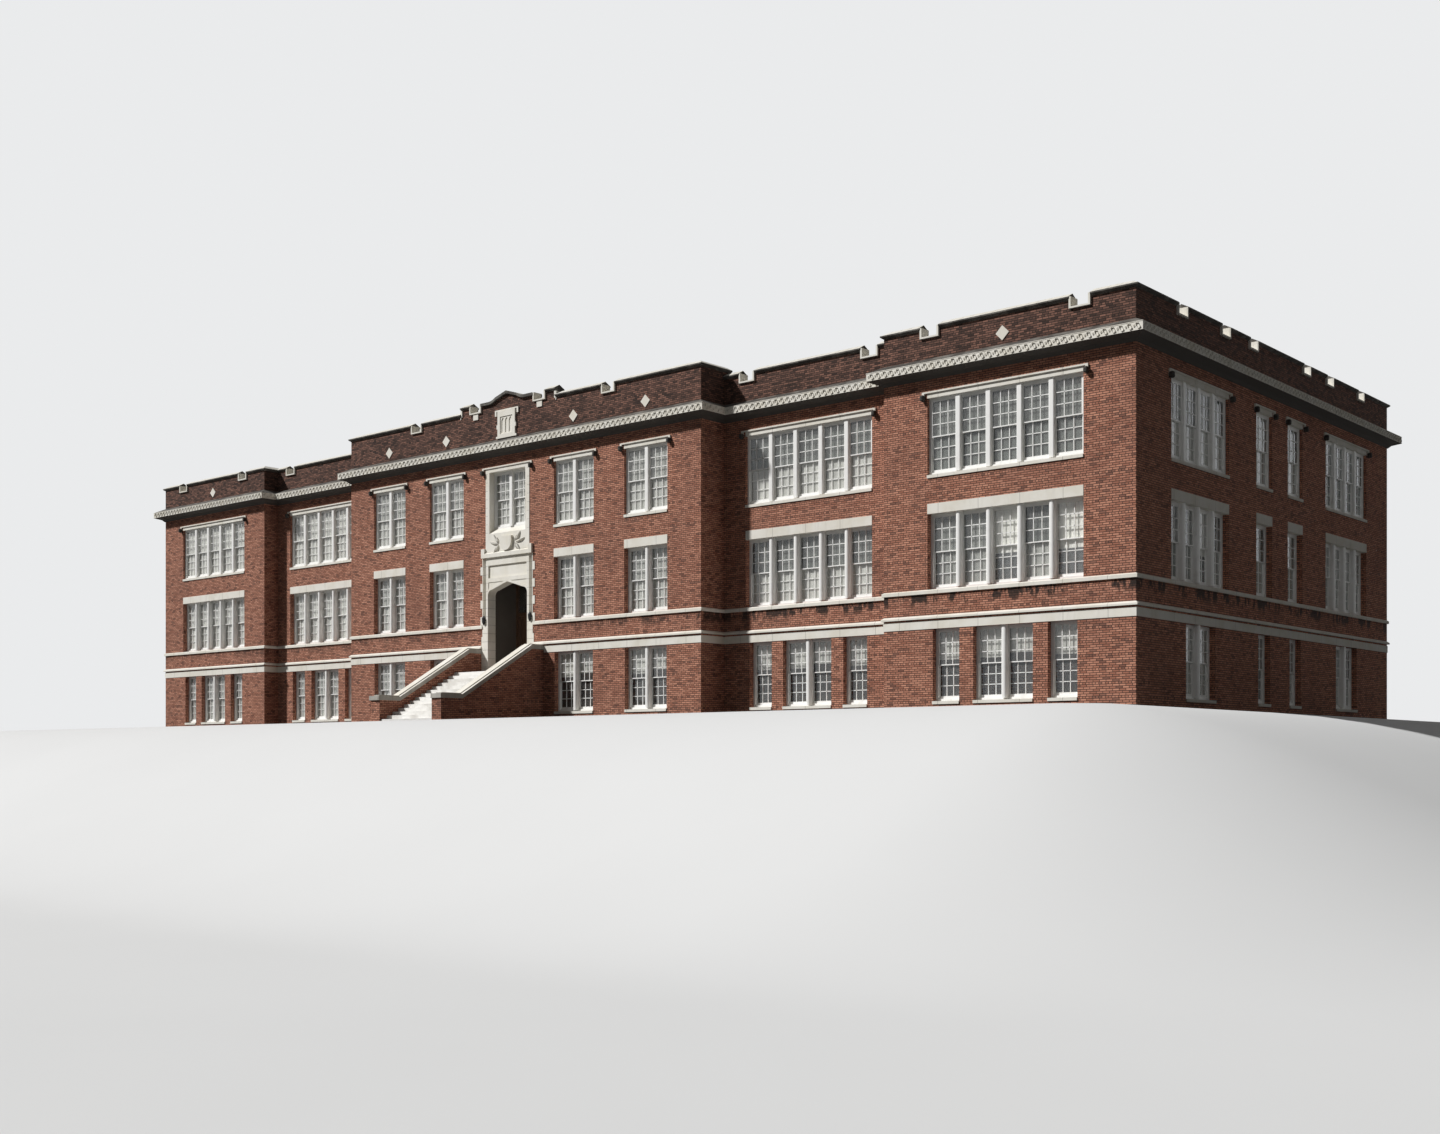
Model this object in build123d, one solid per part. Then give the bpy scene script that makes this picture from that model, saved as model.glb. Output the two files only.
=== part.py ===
"""School building of three levels in brick with stone trim, at half its real size.

Millimetres. +X runs along the front, +Y to the rear, +Z up. The origin lies on the ground at the
centre of the main footprint, which runs between the outer faces of the pavilions, front and rear.
"""

import os
from dataclasses import dataclass

from build123d import *

# Plan: the front steps back beside the pavilions and forward again at the centre block
PAVILION_WIDTH = 4570.0
RECESS_WIDTH = 3880.0
CENTRE_WIDTH = 10600.0
DEPTH = 10875.0
CENTRE_PROJECTION = 260.0
RECESS_SETBACK = 385.0
WALL = 200.0

# Floors, by the level of their upper faces above the ground
BASEMENT_FLOOR_TOP = 120.0
FIRST_FLOOR_TOP = 1625.0
STOREY_HEIGHT = 1925.0
FLOOR_THICKNESS = 150.0
ROOF_THICKNESS = 150.0

# Windows, by the sill's height above the floor and the height of the opening
BASEMENT_SILL_RISE = 120.0
BASEMENT_WINDOW_HEIGHT = 1185.0
FIRST_SILL_RISE = 445.0
FIRST_WINDOW_HEIGHT = 1240.0
SECOND_SILL_RISE = 395.0
SECOND_WINDOW_HEIGHT = 1260.0

# Parapet, from the cornice up, and its steps up to the raised middle
CORNICE_RISE = 540.0
PARAPET_HEIGHT = 630.0
CENTRE_STEP = 145.0
RAISED_STEP = 140.0

# Window openings by the number of lights between their jambs
FIVE_LIGHT_WIDTH = 2835.0
FOUR_LIGHT_WIDTH = 2125.0
PAIR_WIDTH = 1125.0
SINGLE_WIDTH = 675.0
BASEMENT_PAIR_WIDTH = 1085.0
BASEMENT_SINGLE_WIDTH = 510.0
PORTAL_PAIR_WIDTH = 1100.0

# Places of the windows along each wall
CENTRE_INNER_PAIR = 1945.0
CENTRE_OUTER_PAIR = 3900.0
BASEMENT_SINGLE_OFFSET = 1060.0
SIDE_GROUP_OFFSET = 3200.0
SIDE_SINGLE_OFFSET = 685.0

# Timber frames and the sheet of glass on their back
FRAME_BAR = 40.0
MULLION = 75.0
FRAME_DEPTH = 60.0
GLASS = 6.0
BASEMENT_REVEAL = 100.0
FIRST_REVEAL = 105.0
SECOND_REVEAL = 55.0
PORTAL_WINDOW_REVEAL = 120.0

# Stone at the windows
SILL_HEIGHT = 50.0
SILL_PROJECTION = 20.0
LINTEL_HEIGHT = 165.0
LINTEL_PROJECTION = 6.0
HEAD_STONE_HEIGHT = 78.0
HOOD_HEIGHT = 26.0
HOOD_OVERLAP = 90.0
HOOD_PROJECTION = 30.0
HOOD_EAR_WIDTH = 45.0
HOOD_EAR_DROP = 120.0

# String courses round the building
BAND_HEIGHT = 135.0
BAND_PROJECTION = 10.0
WATER_TABLE_RISE = 165.0
WATER_TABLE_HEIGHT = 60.0
WATER_TABLE_PROJECTION = 40.0
SILL_COURSE_HEIGHT = 70.0
SILL_COURSE_PROJECTION = 30.0

# Cornice: a fascia carried on a sloping soffit and a canted bed mould
FASCIA_HEIGHT = 135.0
CORNICE_PROJECTION = 215.0
SOFFIT_DROP = 50.0
BED_MOULD = 50.0
WEATHERING_RISE = 110.0
FRONT_RETURN = 300.0

# Parapet, its saddle-backed coping and its notches
PARAPET = 180.0
COPING_OVERHANG = 50.0
COPING_EDGE = 22.0
COPING_UNDERCUT = 35.0
COPING_RISE = 75.0
NOTCH_WIDTH = 290.0
NOTCH_DEPTH = 155.0
LINING = 38.0
LINING_SILL = 30.0
LINING_PROJECTION = 20.0
PAVILION_NOTCH = 1365.0
RECESS_NOTCH = 1375.0
CENTRE_NOTCH = 2925.0
RAISED_NOTCH = 975.0
SIDE_NOTCHES = (1175.0, 2300.0, 3900.0)
CORBEL_WIDTH = 155.0
CORBEL_HEIGHT = 125.0
RAISED_HALF_WIDTH = 1410.0
GABLE_HALF_WIDTH = 550.0
GABLE_RISE = 160.0
GABLE_SWEEP = 0.6
LOZENGE_DIAGONAL = 240.0
LOZENGE_RISE = 290.0
LOZENGE_THICKNESS = 12.0

# Tablet in the gable: a sunk field with three blind lancets under a hood
TABLET_RISE = 120.0
TABLET_HEIGHT = 560.0
TABLET_WIDTH = 530.0
TABLET_THICKNESS = 40.0
TABLET_BORDER = 75.0
TABLET_SILL_HEIGHT = 45.0
TABLET_EAR = 28.0
TABLET_EAR_HEIGHT = 85.0
TABLET_SINKING = 14.0
LANCET_WIDTH = 90.0
LANCET_GAP = 25.0
LANCET_SINKING = 14.0

# Portal in the middle of the centre block
PORTAL_BAY_HALF_WIDTH = 1000.0
LANDING_HEIGHT = 1060.0
DOOR_HALF_WIDTH = 600.0
ARCH_SPRING = 2670.0
ARCH_RISE = 260.0
ARCH_SHOULDER = 118.0
PORTAL_HALF_WIDTH = 770.0
PORTAL_TOP = 3450.0
QUOIN_COURSE = 172.5
QUOIN_TOOTH = 60.0
PORTAL_PROJECTION = 10.0
JAMB_STRIP = 58.0
HOLLOW_WIDTH = 95.0
BASE_BLOCK_TOP = 1830.0
BASE_BLOCK_STEP = 30.0
PANEL_SINKING = 30.0
PANEL_BOTTOM = 3030.0
PANEL_TOP = 3290.0
PANEL_HALF_WIDTH = 585.0
SPANDREL_TOP = 2945.0
SPANDREL_MARGIN = 45.0
SPANDREL_SINKING = 12.0
PORTAL_HOOD_HEIGHT = 80.0
PORTAL_HOOD_SLOPE = 35.0
PORTAL_HOOD_PROJECTION = 50.0
PORTAL_HOOD_SHOULDER = 190.0
SHIELD_WIDTH = 350.0
SHIELD_RELIEF = 30.0
WINDOW_SURROUND_HALF_WIDTH = 667.0
WINDOW_SURROUND_BOTTOM = 3865.0
PORTAL_WINDOW_SILL_STEP = 105.0

# Porch behind the portal, and the doors at its back
PORCH_HALF_WIDTH = 640.0
PORCH_DEPTH = 600.0
PORCH_WALL = 100.0
PORCH_CEILING = 3050.0
LOBBY_DEPTH = 1400.0
DOOR_HEIGHT = 1250.0
DOOR_THICKNESS = 30.0
DOOR_GAP = 3.0
DOOR_FRAME = 60.0
DOOR_STOP = 12.0

# Lanterns on the portal
LANTERN_HEIGHT = 180.0
LANTERN_WIDTH = 84.0
LANTERN_RISE = 10.0
LANTERN_ARM = 20.0

# Entrance stair between its cheek walls
RISERS = 14
TREAD = 140.0
LANDING_LENGTH = 740.0
CHEEK_THICKNESS = 275.0
CHEEK_FRONT_HEIGHT = 556.0
CHEEK_FRONT_LENGTH = 500.0
CHEEK_REAR_LENGTH = 320.0
CHEEK_COPING = 106.0
CHEEK_COPING_OVERHANG = 28.0
CHEEK_RAISED_EDGE = 20.0
CHEEK_RAISED_INSET = 70.0
CHEEK_NOSE = 30.0

# Lines worked out from the plan
HALF_CENTRE = CENTRE_WIDTH / 2
INNER_CORNER = HALF_CENTRE + RECESS_WIDTH
HALF_LENGTH = INNER_CORNER + PAVILION_WIDTH
PAVILION_CENTRE = (INNER_CORNER + HALF_LENGTH) / 2
RECESS_CENTRE = (HALF_CENTRE + INNER_CORNER) / 2
FRONT = -DEPTH / 2
REAR = DEPTH / 2
RECESS_FRONT = FRONT + RECESS_SETBACK
CENTRE_FRONT = FRONT - CENTRE_PROJECTION

# Levels worked out from the storeys
SECOND_FLOOR_TOP = FIRST_FLOOR_TOP + STOREY_HEIGHT
BASEMENT_SILL = BASEMENT_FLOOR_TOP + BASEMENT_SILL_RISE
BASEMENT_HEAD = BASEMENT_SILL + BASEMENT_WINDOW_HEIGHT
WATER_TABLE_BOTTOM = BASEMENT_HEAD + WATER_TABLE_RISE
FIRST_SILL = FIRST_FLOOR_TOP + FIRST_SILL_RISE
FIRST_HEAD = FIRST_SILL + FIRST_WINDOW_HEIGHT
SECOND_SILL = SECOND_FLOOR_TOP + SECOND_SILL_RISE
SECOND_HEAD = SECOND_SILL + SECOND_WINDOW_HEIGHT
PORTAL_WINDOW_SILL = SECOND_SILL + PORTAL_WINDOW_SILL_STEP
PARAPET_BASE = SECOND_HEAD + CORNICE_RISE
WING_PARAPET_TOP = PARAPET_BASE + PARAPET_HEIGHT
CENTRE_PARAPET_TOP = WING_PARAPET_TOP + CENTRE_STEP
RAISED_PARAPET_TOP = CENTRE_PARAPET_TOP + RAISED_STEP
TABLET_BOTTOM = PARAPET_BASE + TABLET_RISE
HEAD_STONE_TOP = SECOND_HEAD + HEAD_STONE_HEIGHT

# Lines of the porch and the stair
DOOR_PLANE = CENTRE_FRONT + WALL + PORCH_DEPTH
STAIR_HALF_WIDTH = PORTAL_HALF_WIDTH + BASE_BLOCK_STEP
STAIR_TOP = CENTRE_FRONT - LANDING_LENGTH
RISER = LANDING_HEIGHT / RISERS
STAIR_FOOT = STAIR_TOP - (RISERS - 1) * TREAD
CHEEK_REAR_HEIGHT = WATER_TABLE_BOTTOM


def face_along_x(y):
    """Outer face of a wall that looks to the front: along +X, up +Z, outward -Y."""
    return Plane((0, y, 0), x_dir=(1, 0, 0), z_dir=(0, -1, 0))


PAVILION_FACE = face_along_x(FRONT)
RECESS_FACE = face_along_x(RECESS_FRONT)
CENTRE_FACE = face_along_x(CENTRE_FRONT)
RIGHT_FACE = Plane((HALF_LENGTH, 0, 0), x_dir=(0, 1, 0), z_dir=(1, 0, 0))
LEFT_FACE = Plane((-HALF_LENGTH, 0, 0), x_dir=(0, -1, 0), z_dir=(-1, 0, 0))
REAR_FACE = Plane((0, REAR, 0), x_dir=(-1, 0, 0), z_dir=(0, 1, 0))


def block(x0, x1, y0, y1, z0, z1):
    """Box between two corners in the building's frame."""
    centre = ((x0 + x1) / 2, (y0 + y1) / 2, (z0 + z1) / 2)
    return Pos(*centre) * Box(abs(x1 - x0), abs(y1 - y0), abs(z1 - z0))


def on_face(face, u0, u1, v0, v1, inward, outward):
    """Box on a wall face, from a depth inside it to a projection in front of it."""
    local = Pos((u0 + u1) / 2, (v0 + v1) / 2, (outward - inward) / 2)
    return face.location * local * Box(u1 - u0, v1 - v0, inward + outward)


def slice_of(face, sketch, inward, outward):
    """Sketch drawn on a wall face, made solid from a depth inside it to in front of it."""
    return face.location * Pos(0, 0, -inward) * extrude(sketch, amount=inward + outward)


def rectangle(u0, u1, v0, v1):
    """Filled rectangle between two corners."""
    return Pos((u0 + u1) / 2, (v0 + v1) / 2) * Rectangle(abs(u1 - u0), abs(v1 - v0))


@dataclass(frozen=True)
class Storey:
    """One row of windows: its levels, its reveal and the stones above and below it."""

    sill: float
    head: float
    reveal: float
    sill_stone: float
    head_stone: float


BASEMENT = Storey(BASEMENT_SILL, BASEMENT_HEAD, BASEMENT_REVEAL, SILL_HEIGHT, 0)
FIRST = Storey(FIRST_SILL, FIRST_HEAD, FIRST_REVEAL, 0, LINTEL_HEIGHT)
SECOND = Storey(SECOND_SILL, SECOND_HEAD, SECOND_REVEAL, SILL_HEIGHT, HEAD_STONE_HEIGHT)
PORTAL_STOREY = Storey(PORTAL_WINDOW_SILL, SECOND_HEAD, PORTAL_WINDOW_REVEAL, 0, 0)
UPPER_STOREYS = (FIRST, SECOND)


@dataclass(frozen=True)
class Window:
    """A group of lights in one opening of a wall."""

    face: Plane
    storey: Storey
    centre: float
    width: float
    lights: int

    @property
    def left(self):
        return self.centre - self.width / 2

    @property
    def right(self):
        return self.centre + self.width / 2


def basement_bay(face, centre):
    """Basement windows of a bay: a pair in the middle and a single light on each side."""
    pair = Window(face, BASEMENT, centre, BASEMENT_PAIR_WIDTH, 2)
    offsets = (-BASEMENT_SINGLE_OFFSET, BASEMENT_SINGLE_OFFSET)
    singles = [Window(face, BASEMENT, centre + d, BASEMENT_SINGLE_WIDTH, 1) for d in offsets]
    return [pair, *singles]


def five_light_bay(face, centre):
    """Windows of a pavilion or recess: five lights on both upper storeys."""
    upper = [Window(face, storey, centre, FIVE_LIGHT_WIDTH, 5) for storey in UPPER_STOREYS]
    return basement_bay(face, centre) + upper


def pair_column(face, centre):
    """One pair of lights on every level."""
    upper = [Window(face, storey, centre, PAIR_WIDTH, 2) for storey in UPPER_STOREYS]
    return [Window(face, BASEMENT, centre, BASEMENT_PAIR_WIDTH, 2), *upper]


def side_windows(face):
    """Two groups of four lights and two single lights on each level of a side wall."""
    windows = []
    for sign in (-1, 1):
        group = sign * SIDE_GROUP_OFFSET
        single = sign * SIDE_SINGLE_OFFSET
        windows.append(Window(face, BASEMENT, group, BASEMENT_PAIR_WIDTH, 2))
        windows.append(Window(face, BASEMENT, single, BASEMENT_SINGLE_WIDTH, 1))
        for storey in UPPER_STOREYS:
            windows.append(Window(face, storey, group, FOUR_LIGHT_WIDTH, 4))
            windows.append(Window(face, storey, single, SINGLE_WIDTH, 1))
    return windows


def rear_windows():
    """The rear repeats the front's rhythm, with a column of pairs in the middle."""
    windows = []
    for centre in (-PAVILION_CENTRE, -RECESS_CENTRE, RECESS_CENTRE, PAVILION_CENTRE):
        windows.append(Window(REAR_FACE, BASEMENT, centre, BASEMENT_PAIR_WIDTH, 2))
        for storey in UPPER_STOREYS:
            windows.append(Window(REAR_FACE, storey, centre, FIVE_LIGHT_WIDTH, 5))
    for centre in (-CENTRE_OUTER_PAIR, -CENTRE_INNER_PAIR, 0, CENTRE_INNER_PAIR, CENTRE_OUTER_PAIR):
        windows += pair_column(REAR_FACE, centre)
    return windows


PAVILION_WINDOWS = {sign: five_light_bay(PAVILION_FACE, sign * PAVILION_CENTRE) for sign in (-1, 1)}
RECESS_WINDOWS = {sign: five_light_bay(RECESS_FACE, sign * RECESS_CENTRE) for sign in (-1, 1)}
CENTRE_WINDOWS = {
    sign: pair_column(CENTRE_FACE, sign * CENTRE_INNER_PAIR)
    + pair_column(CENTRE_FACE, sign * CENTRE_OUTER_PAIR)
    for sign in (-1, 1)
}
PORTAL_WINDOW = Window(CENTRE_FACE, PORTAL_STOREY, 0, PORTAL_PAIR_WIDTH, 2)
LEFT_WINDOWS = side_windows(LEFT_FACE)
RIGHT_WINDOWS = side_windows(RIGHT_FACE)
REAR_WINDOWS = rear_windows()
PLAIN_WINDOWS = [
    *PAVILION_WINDOWS[-1],
    *PAVILION_WINDOWS[1],
    *RECESS_WINDOWS[-1],
    *RECESS_WINDOWS[1],
    *CENTRE_WINDOWS[-1],
    *CENTRE_WINDOWS[1],
    *LEFT_WINDOWS,
    *RIGHT_WINDOWS,
    *REAR_WINDOWS,
]


def wall_plate(face, u0, u1, windows):
    """Brick wall between two points of a face, with its openings cut through."""
    elevation = rectangle(u0, u1, 0, PARAPET_BASE)
    for window in windows:
        storey = window.storey
        bottom = storey.sill - storey.sill_stone
        top = storey.head + storey.head_stone
        elevation -= rectangle(window.left, window.right, bottom, top)
    return slice_of(face, elevation, WALL, 0)


def pavilion_wall(sign):
    """Front of a pavilion with the short return that leads back to the recessed bay."""
    ends = sorted((sign * INNER_CORNER, sign * HALF_LENGTH))
    plate = wall_plate(PAVILION_FACE, *ends, PAVILION_WINDOWS[sign])
    inner = sorted((sign * INNER_CORNER, sign * (INNER_CORNER + WALL)))
    leg = block(*inner, FRONT + WALL, RECESS_FRONT + WALL, 0, PARAPET_BASE)
    return plate + leg


def recess_wall(sign):
    """Front of a recessed bay, between the returns of its neighbours."""
    ends = sorted((sign * HALF_CENTRE, sign * INNER_CORNER))
    return wall_plate(RECESS_FACE, *ends, RECESS_WINDOWS[sign])


def centre_wall(sign):
    """One half of the centre block's front beside the portal bay, with its return."""
    ends = sorted((sign * PORTAL_BAY_HALF_WIDTH, sign * HALF_CENTRE))
    plate = wall_plate(CENTRE_FACE, *ends, CENTRE_WINDOWS[sign])
    outer = sorted((sign * (HALF_CENTRE - WALL), sign * HALF_CENTRE))
    leg = block(*outer, CENTRE_FRONT + WALL, RECESS_FRONT + WALL, 0, PARAPET_BASE)
    return plate + leg


def portal_outline():
    """Toothed outline of the portal's stonework on the wall face."""
    outline = rectangle(-PORTAL_HALF_WIDTH, PORTAL_HALF_WIDTH, LANDING_HEIGHT, PORTAL_TOP)
    tooth = PORTAL_HALF_WIDTH + QUOIN_TOOTH
    bottom = FIRST_SILL
    while bottom + QUOIN_COURSE <= PORTAL_TOP:
        outline += rectangle(-tooth, tooth, bottom, bottom + QUOIN_COURSE)
        bottom += 2 * QUOIN_COURSE
    step = PORTAL_HALF_WIDTH + BASE_BLOCK_STEP
    return outline + rectangle(-step, step, LANDING_HEIGHT, BASE_BLOCK_TOP)


def window_surround_outline():
    """Stonework over the portal: the shield panel and the surround of the window above."""
    half = WINDOW_SURROUND_HALF_WIDTH
    return rectangle(-half, half, PORTAL_TOP, HEAD_STONE_TOP)


def portal_bay_wall():
    """Brick of the portal bay, cut away for the stonework."""
    half = PORTAL_BAY_HALF_WIDTH
    elevation = rectangle(-half, half, 0, PARAPET_BASE)
    elevation -= portal_outline() + window_surround_outline()
    return slice_of(CENTRE_FACE, elevation, WALL, 0)


def side_wall(face, windows):
    """Side wall between the front and rear walls."""
    half = DEPTH / 2 - WALL
    return wall_plate(face, -half, half, windows)


def rear_wall():
    """Plain rear wall over the full length."""
    return wall_plate(REAR_FACE, -HALF_LENGTH, HALF_LENGTH, REAR_WINDOWS)


def floor_outline():
    """Plan of the space inside the walls."""
    rear = REAR - WALL
    plan = rectangle(-HALF_LENGTH + WALL, HALF_LENGTH - WALL, RECESS_FRONT + WALL, rear)
    for sign in (-1, 1):
        ends = (sign * (INNER_CORNER + WALL), sign * (HALF_LENGTH - WALL))
        plan += rectangle(*ends, FRONT + WALL, RECESS_FRONT + WALL)
    half = HALF_CENTRE - WALL
    return plan + rectangle(-half, half, CENTRE_FRONT + WALL, RECESS_FRONT + WALL)


def floor(top, thickness, cutout=None):
    """Floor slab that fills the plan between the walls."""
    plan = floor_outline()
    if cutout:
        plan -= cutout
    return Pos(0, 0, top - thickness) * extrude(plan, amount=thickness)


def lobby_cutout():
    """Hole in the first floor round the porch and the lobby behind the doors."""
    half = PORCH_HALF_WIDTH + PORCH_WALL
    return rectangle(-half, half, CENTRE_FRONT + WALL, DOOR_PLANE + LOBBY_DEPTH)


def window_frame(window):
    """Timber frame with its mullions, as one lattice."""
    storey = window.storey
    sketch = rectangle(window.left, window.right, storey.sill, storey.head)
    clear = window.width - 2 * FRAME_BAR - (window.lights - 1) * MULLION
    light = clear / window.lights
    for i in range(window.lights):
        left = window.left + FRAME_BAR + i * (light + MULLION)
        sketch -= rectangle(left, left + light, storey.sill + FRAME_BAR, storey.head - FRAME_BAR)
    depth = storey.reveal + FRAME_DEPTH
    return slice_of(window.face, sketch, depth, -storey.reveal)


def window_glass(window):
    """Sheet of glass on the back of a frame."""
    storey = window.storey
    back = storey.reveal + FRAME_DEPTH
    ends = (window.left, window.right, storey.sill, storey.head)
    return on_face(window.face, *ends, back + GLASS, -back)


def window_sill(window):
    """Stone sill through the wall, a little proud of its face."""
    storey = window.storey
    bottom = storey.sill - storey.sill_stone
    ends = (window.left, window.right, bottom, storey.sill)
    return on_face(window.face, *ends, WALL, SILL_PROJECTION)


def first_floor_lintel(window):
    """Plain stone lintel over a first-floor window."""
    head = window.storey.head
    ends = (window.left, window.right, head, head + LINTEL_HEIGHT)
    return on_face(window.face, *ends, WALL, LINTEL_PROJECTION)


def hood_profile(left, right, top):
    """Hood mould seen from the front: a bar with an ear turned down at each end."""
    bottom = top - HOOD_HEIGHT
    bar = rectangle(left - HOOD_OVERLAP, right + HOOD_OVERLAP, bottom, top)
    drop = top - HOOD_EAR_DROP
    bar += rectangle(left - HOOD_OVERLAP, left - HOOD_OVERLAP + HOOD_EAR_WIDTH, drop, top)
    return bar + rectangle(right + HOOD_OVERLAP - HOOD_EAR_WIDTH, right + HOOD_OVERLAP, drop, top)


def second_floor_head(window):
    """Head stone of a second-floor window, with a hood mould over it except at the rear."""
    head = window.storey.head
    ends = (window.left, window.right, head, head + HEAD_STONE_HEIGHT)
    stone = on_face(window.face, *ends, WALL, LINTEL_PROJECTION)
    if window in REAR_WINDOWS:
        return stone
    top = head + HEAD_STONE_HEIGHT + HOOD_HEIGHT
    hood = slice_of(window.face, hood_profile(window.left, window.right, top), 0, HOOD_PROJECTION)
    return stone + hood


def front_outline(start):
    """Corners of the front from a point beside the portal to the right pavilion's corner."""
    return [
        (start, CENTRE_FRONT),
        (HALF_CENTRE, CENTRE_FRONT),
        (HALF_CENTRE, RECESS_FRONT),
        (INNER_CORNER, RECESS_FRONT),
        (INNER_CORNER, FRONT),
        (HALF_LENGTH, FRONT),
    ]


def mirrored(points):
    """The same corners on the left, in the opposite order."""
    return [(-x, y) for x, y in reversed(points)]


def run_along(points, profile):
    """Moulding of one section along level, mitred runs; the section is drawn outward and up."""
    path = Polyline([(x, y, 0) for x, y in points])
    start = Vector(*points[0])
    along = (Vector(*points[1]) - start).normalized()
    outward = along.cross(Vector(0, 0, 1))
    section = Plane((start.X, start.Y, 0), x_dir=outward, z_dir=-along)
    return sweep(section * profile, path=path, transition=Transition.RIGHT)


def string_course(start, bottom, height, projection, weathering):
    """Course of stone round the whole building, from one side of the portal to the other."""
    profile = make_face(
        Polyline(
            (0, bottom),
            (projection, bottom),
            (projection, bottom + height - weathering),
            (0, bottom + height),
            close=True,
        )
    )
    right = front_outline(start)
    rear = [(HALF_LENGTH, REAR), (-HALF_LENGTH, REAR)]
    return run_along(right + rear + mirrored(right), profile)


def string_courses():
    """Head band of the basement, water table and first-floor sill course."""
    cheek = STAIR_HALF_WIDTH + CHEEK_THICKNESS + CHEEK_COPING_OVERHANG
    base = PORTAL_HALF_WIDTH + BASE_BLOCK_STEP
    sill_bottom = FIRST_SILL - SILL_COURSE_HEIGHT
    return [
        string_course(cheek, BASEMENT_HEAD, BAND_HEIGHT, BAND_PROJECTION, 0),
        string_course(
            base,
            WATER_TABLE_BOTTOM,
            WATER_TABLE_HEIGHT,
            WATER_TABLE_PROJECTION,
            WATER_TABLE_HEIGHT / 2,
        ),
        string_course(
            PORTAL_HALF_WIDTH,
            sill_bottom,
            SILL_COURSE_HEIGHT,
            SILL_COURSE_PROJECTION,
            SILL_COURSE_HEIGHT / 4,
        ),
    ]


def cornice_section():
    """Section of the cornice: bed mould, sloping soffit, fascia and weathered top."""
    fascia_bottom = PARAPET_BASE - FASCIA_HEIGHT
    soffit_inner = fascia_bottom - SOFFIT_DROP
    foot = soffit_inner - BED_MOULD
    return make_face(
        Polyline(
            (BED_MOULD * 0.3, foot),
            (BED_MOULD * 1.3, soffit_inner),
            (CORNICE_PROJECTION, fascia_bottom),
            (CORNICE_PROJECTION, PARAPET_BASE),
            (0, PARAPET_BASE + WEATHERING_RISE),
            (0, foot),
            close=True,
        )
    )


def front_cornice():
    """Cornice along the stepped front, returned a little way round both corners."""
    right = front_outline(0)[1:] + [(HALF_LENGTH, FRONT + FRONT_RETURN)]
    return run_along(mirrored(right) + right, cornice_section())


def side_and_rear_cornice():
    """The same cornice along the sides and the rear."""
    points = [
        (HALF_LENGTH, FRONT + FRONT_RETURN),
        (HALF_LENGTH, REAR),
        (-HALF_LENGTH, REAR),
        (-HALF_LENGTH, FRONT + FRONT_RETURN),
    ]
    return run_along(points, cornice_section())


def brick_top(level):
    """Top of the parapet's brickwork under a coping whose eave is at this level."""
    return level - COPING_EDGE - COPING_UNDERCUT


def coping_section(level):
    """Saddle-backed coping over the parapet, undercut below its edge; drawn from the outer face."""
    low = brick_top(level)
    outer = COPING_OVERHANG
    inner = -PARAPET - COPING_OVERHANG
    return make_face(
        Polyline(
            (0, low),
            (outer, low + COPING_UNDERCUT),
            (outer, level),
            (-PARAPET / 2, level + COPING_RISE),
            (inner, level),
            (inner, low + COPING_UNDERCUT),
            (-PARAPET, low),
            close=True,
        )
    )


def notch_cut(u, level):
    """Rectangle that a notch takes out of the brickwork, lining included."""
    half = NOTCH_WIDTH / 2 + LINING
    return rectangle(u - half, u + half, level - NOTCH_DEPTH - LINING_SILL, level + COPING_RISE)


def parapet_plate(face, u0, u1, level, notches):
    """Brick parapet between two points of a face, with its notches cut out."""
    elevation = rectangle(u0, u1, PARAPET_BASE, brick_top(level))
    for notch in notches:
        elevation -= notch_cut(notch, level)
    return slice_of(face, elevation, PARAPET, 0)


def gable_line(level):
    """Swept outline of the gable, from foot to apex to foot, above a level."""
    bend = GABLE_HALF_WIDTH * GABLE_SWEEP
    height = GABLE_RISE * (1 - GABLE_SWEEP)
    half = GABLE_HALF_WIDTH
    left = TangentArc((-half, level), (-bend, level + height), tangent=(1, 0))
    rake = Polyline((-bend, level + height), (0, level + GABLE_RISE), (bend, level + height))
    right = TangentArc((half, level), (bend, level + height), tangent=(-1, 0))
    return left, rake, right


def gable_field(level):
    """Filled shape of the gable above a level."""
    left, rake, right = gable_line(level)
    base = Line((GABLE_HALF_WIDTH, level), (-GABLE_HALF_WIDTH, level))
    return make_face(Curve() + [left, rake, right, base])


def centre_parapet_elevation():
    """Outline of the centre block's parapet: raised middle, gable and notches."""
    low = brick_top(CENTRE_PARAPET_TOP)
    high = brick_top(RAISED_PARAPET_TOP)
    outline = rectangle(-HALF_CENTRE, HALF_CENTRE, PARAPET_BASE, low)
    outline += rectangle(-RAISED_HALF_WIDTH, RAISED_HALF_WIDTH, low, high)
    outline += gable_field(high)
    for sign in (-1, 1):
        outline -= notch_cut(sign * CENTRE_NOTCH, CENTRE_PARAPET_TOP)
        outline -= notch_cut(sign * RAISED_NOTCH, RAISED_PARAPET_TOP)
    return outline


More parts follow.
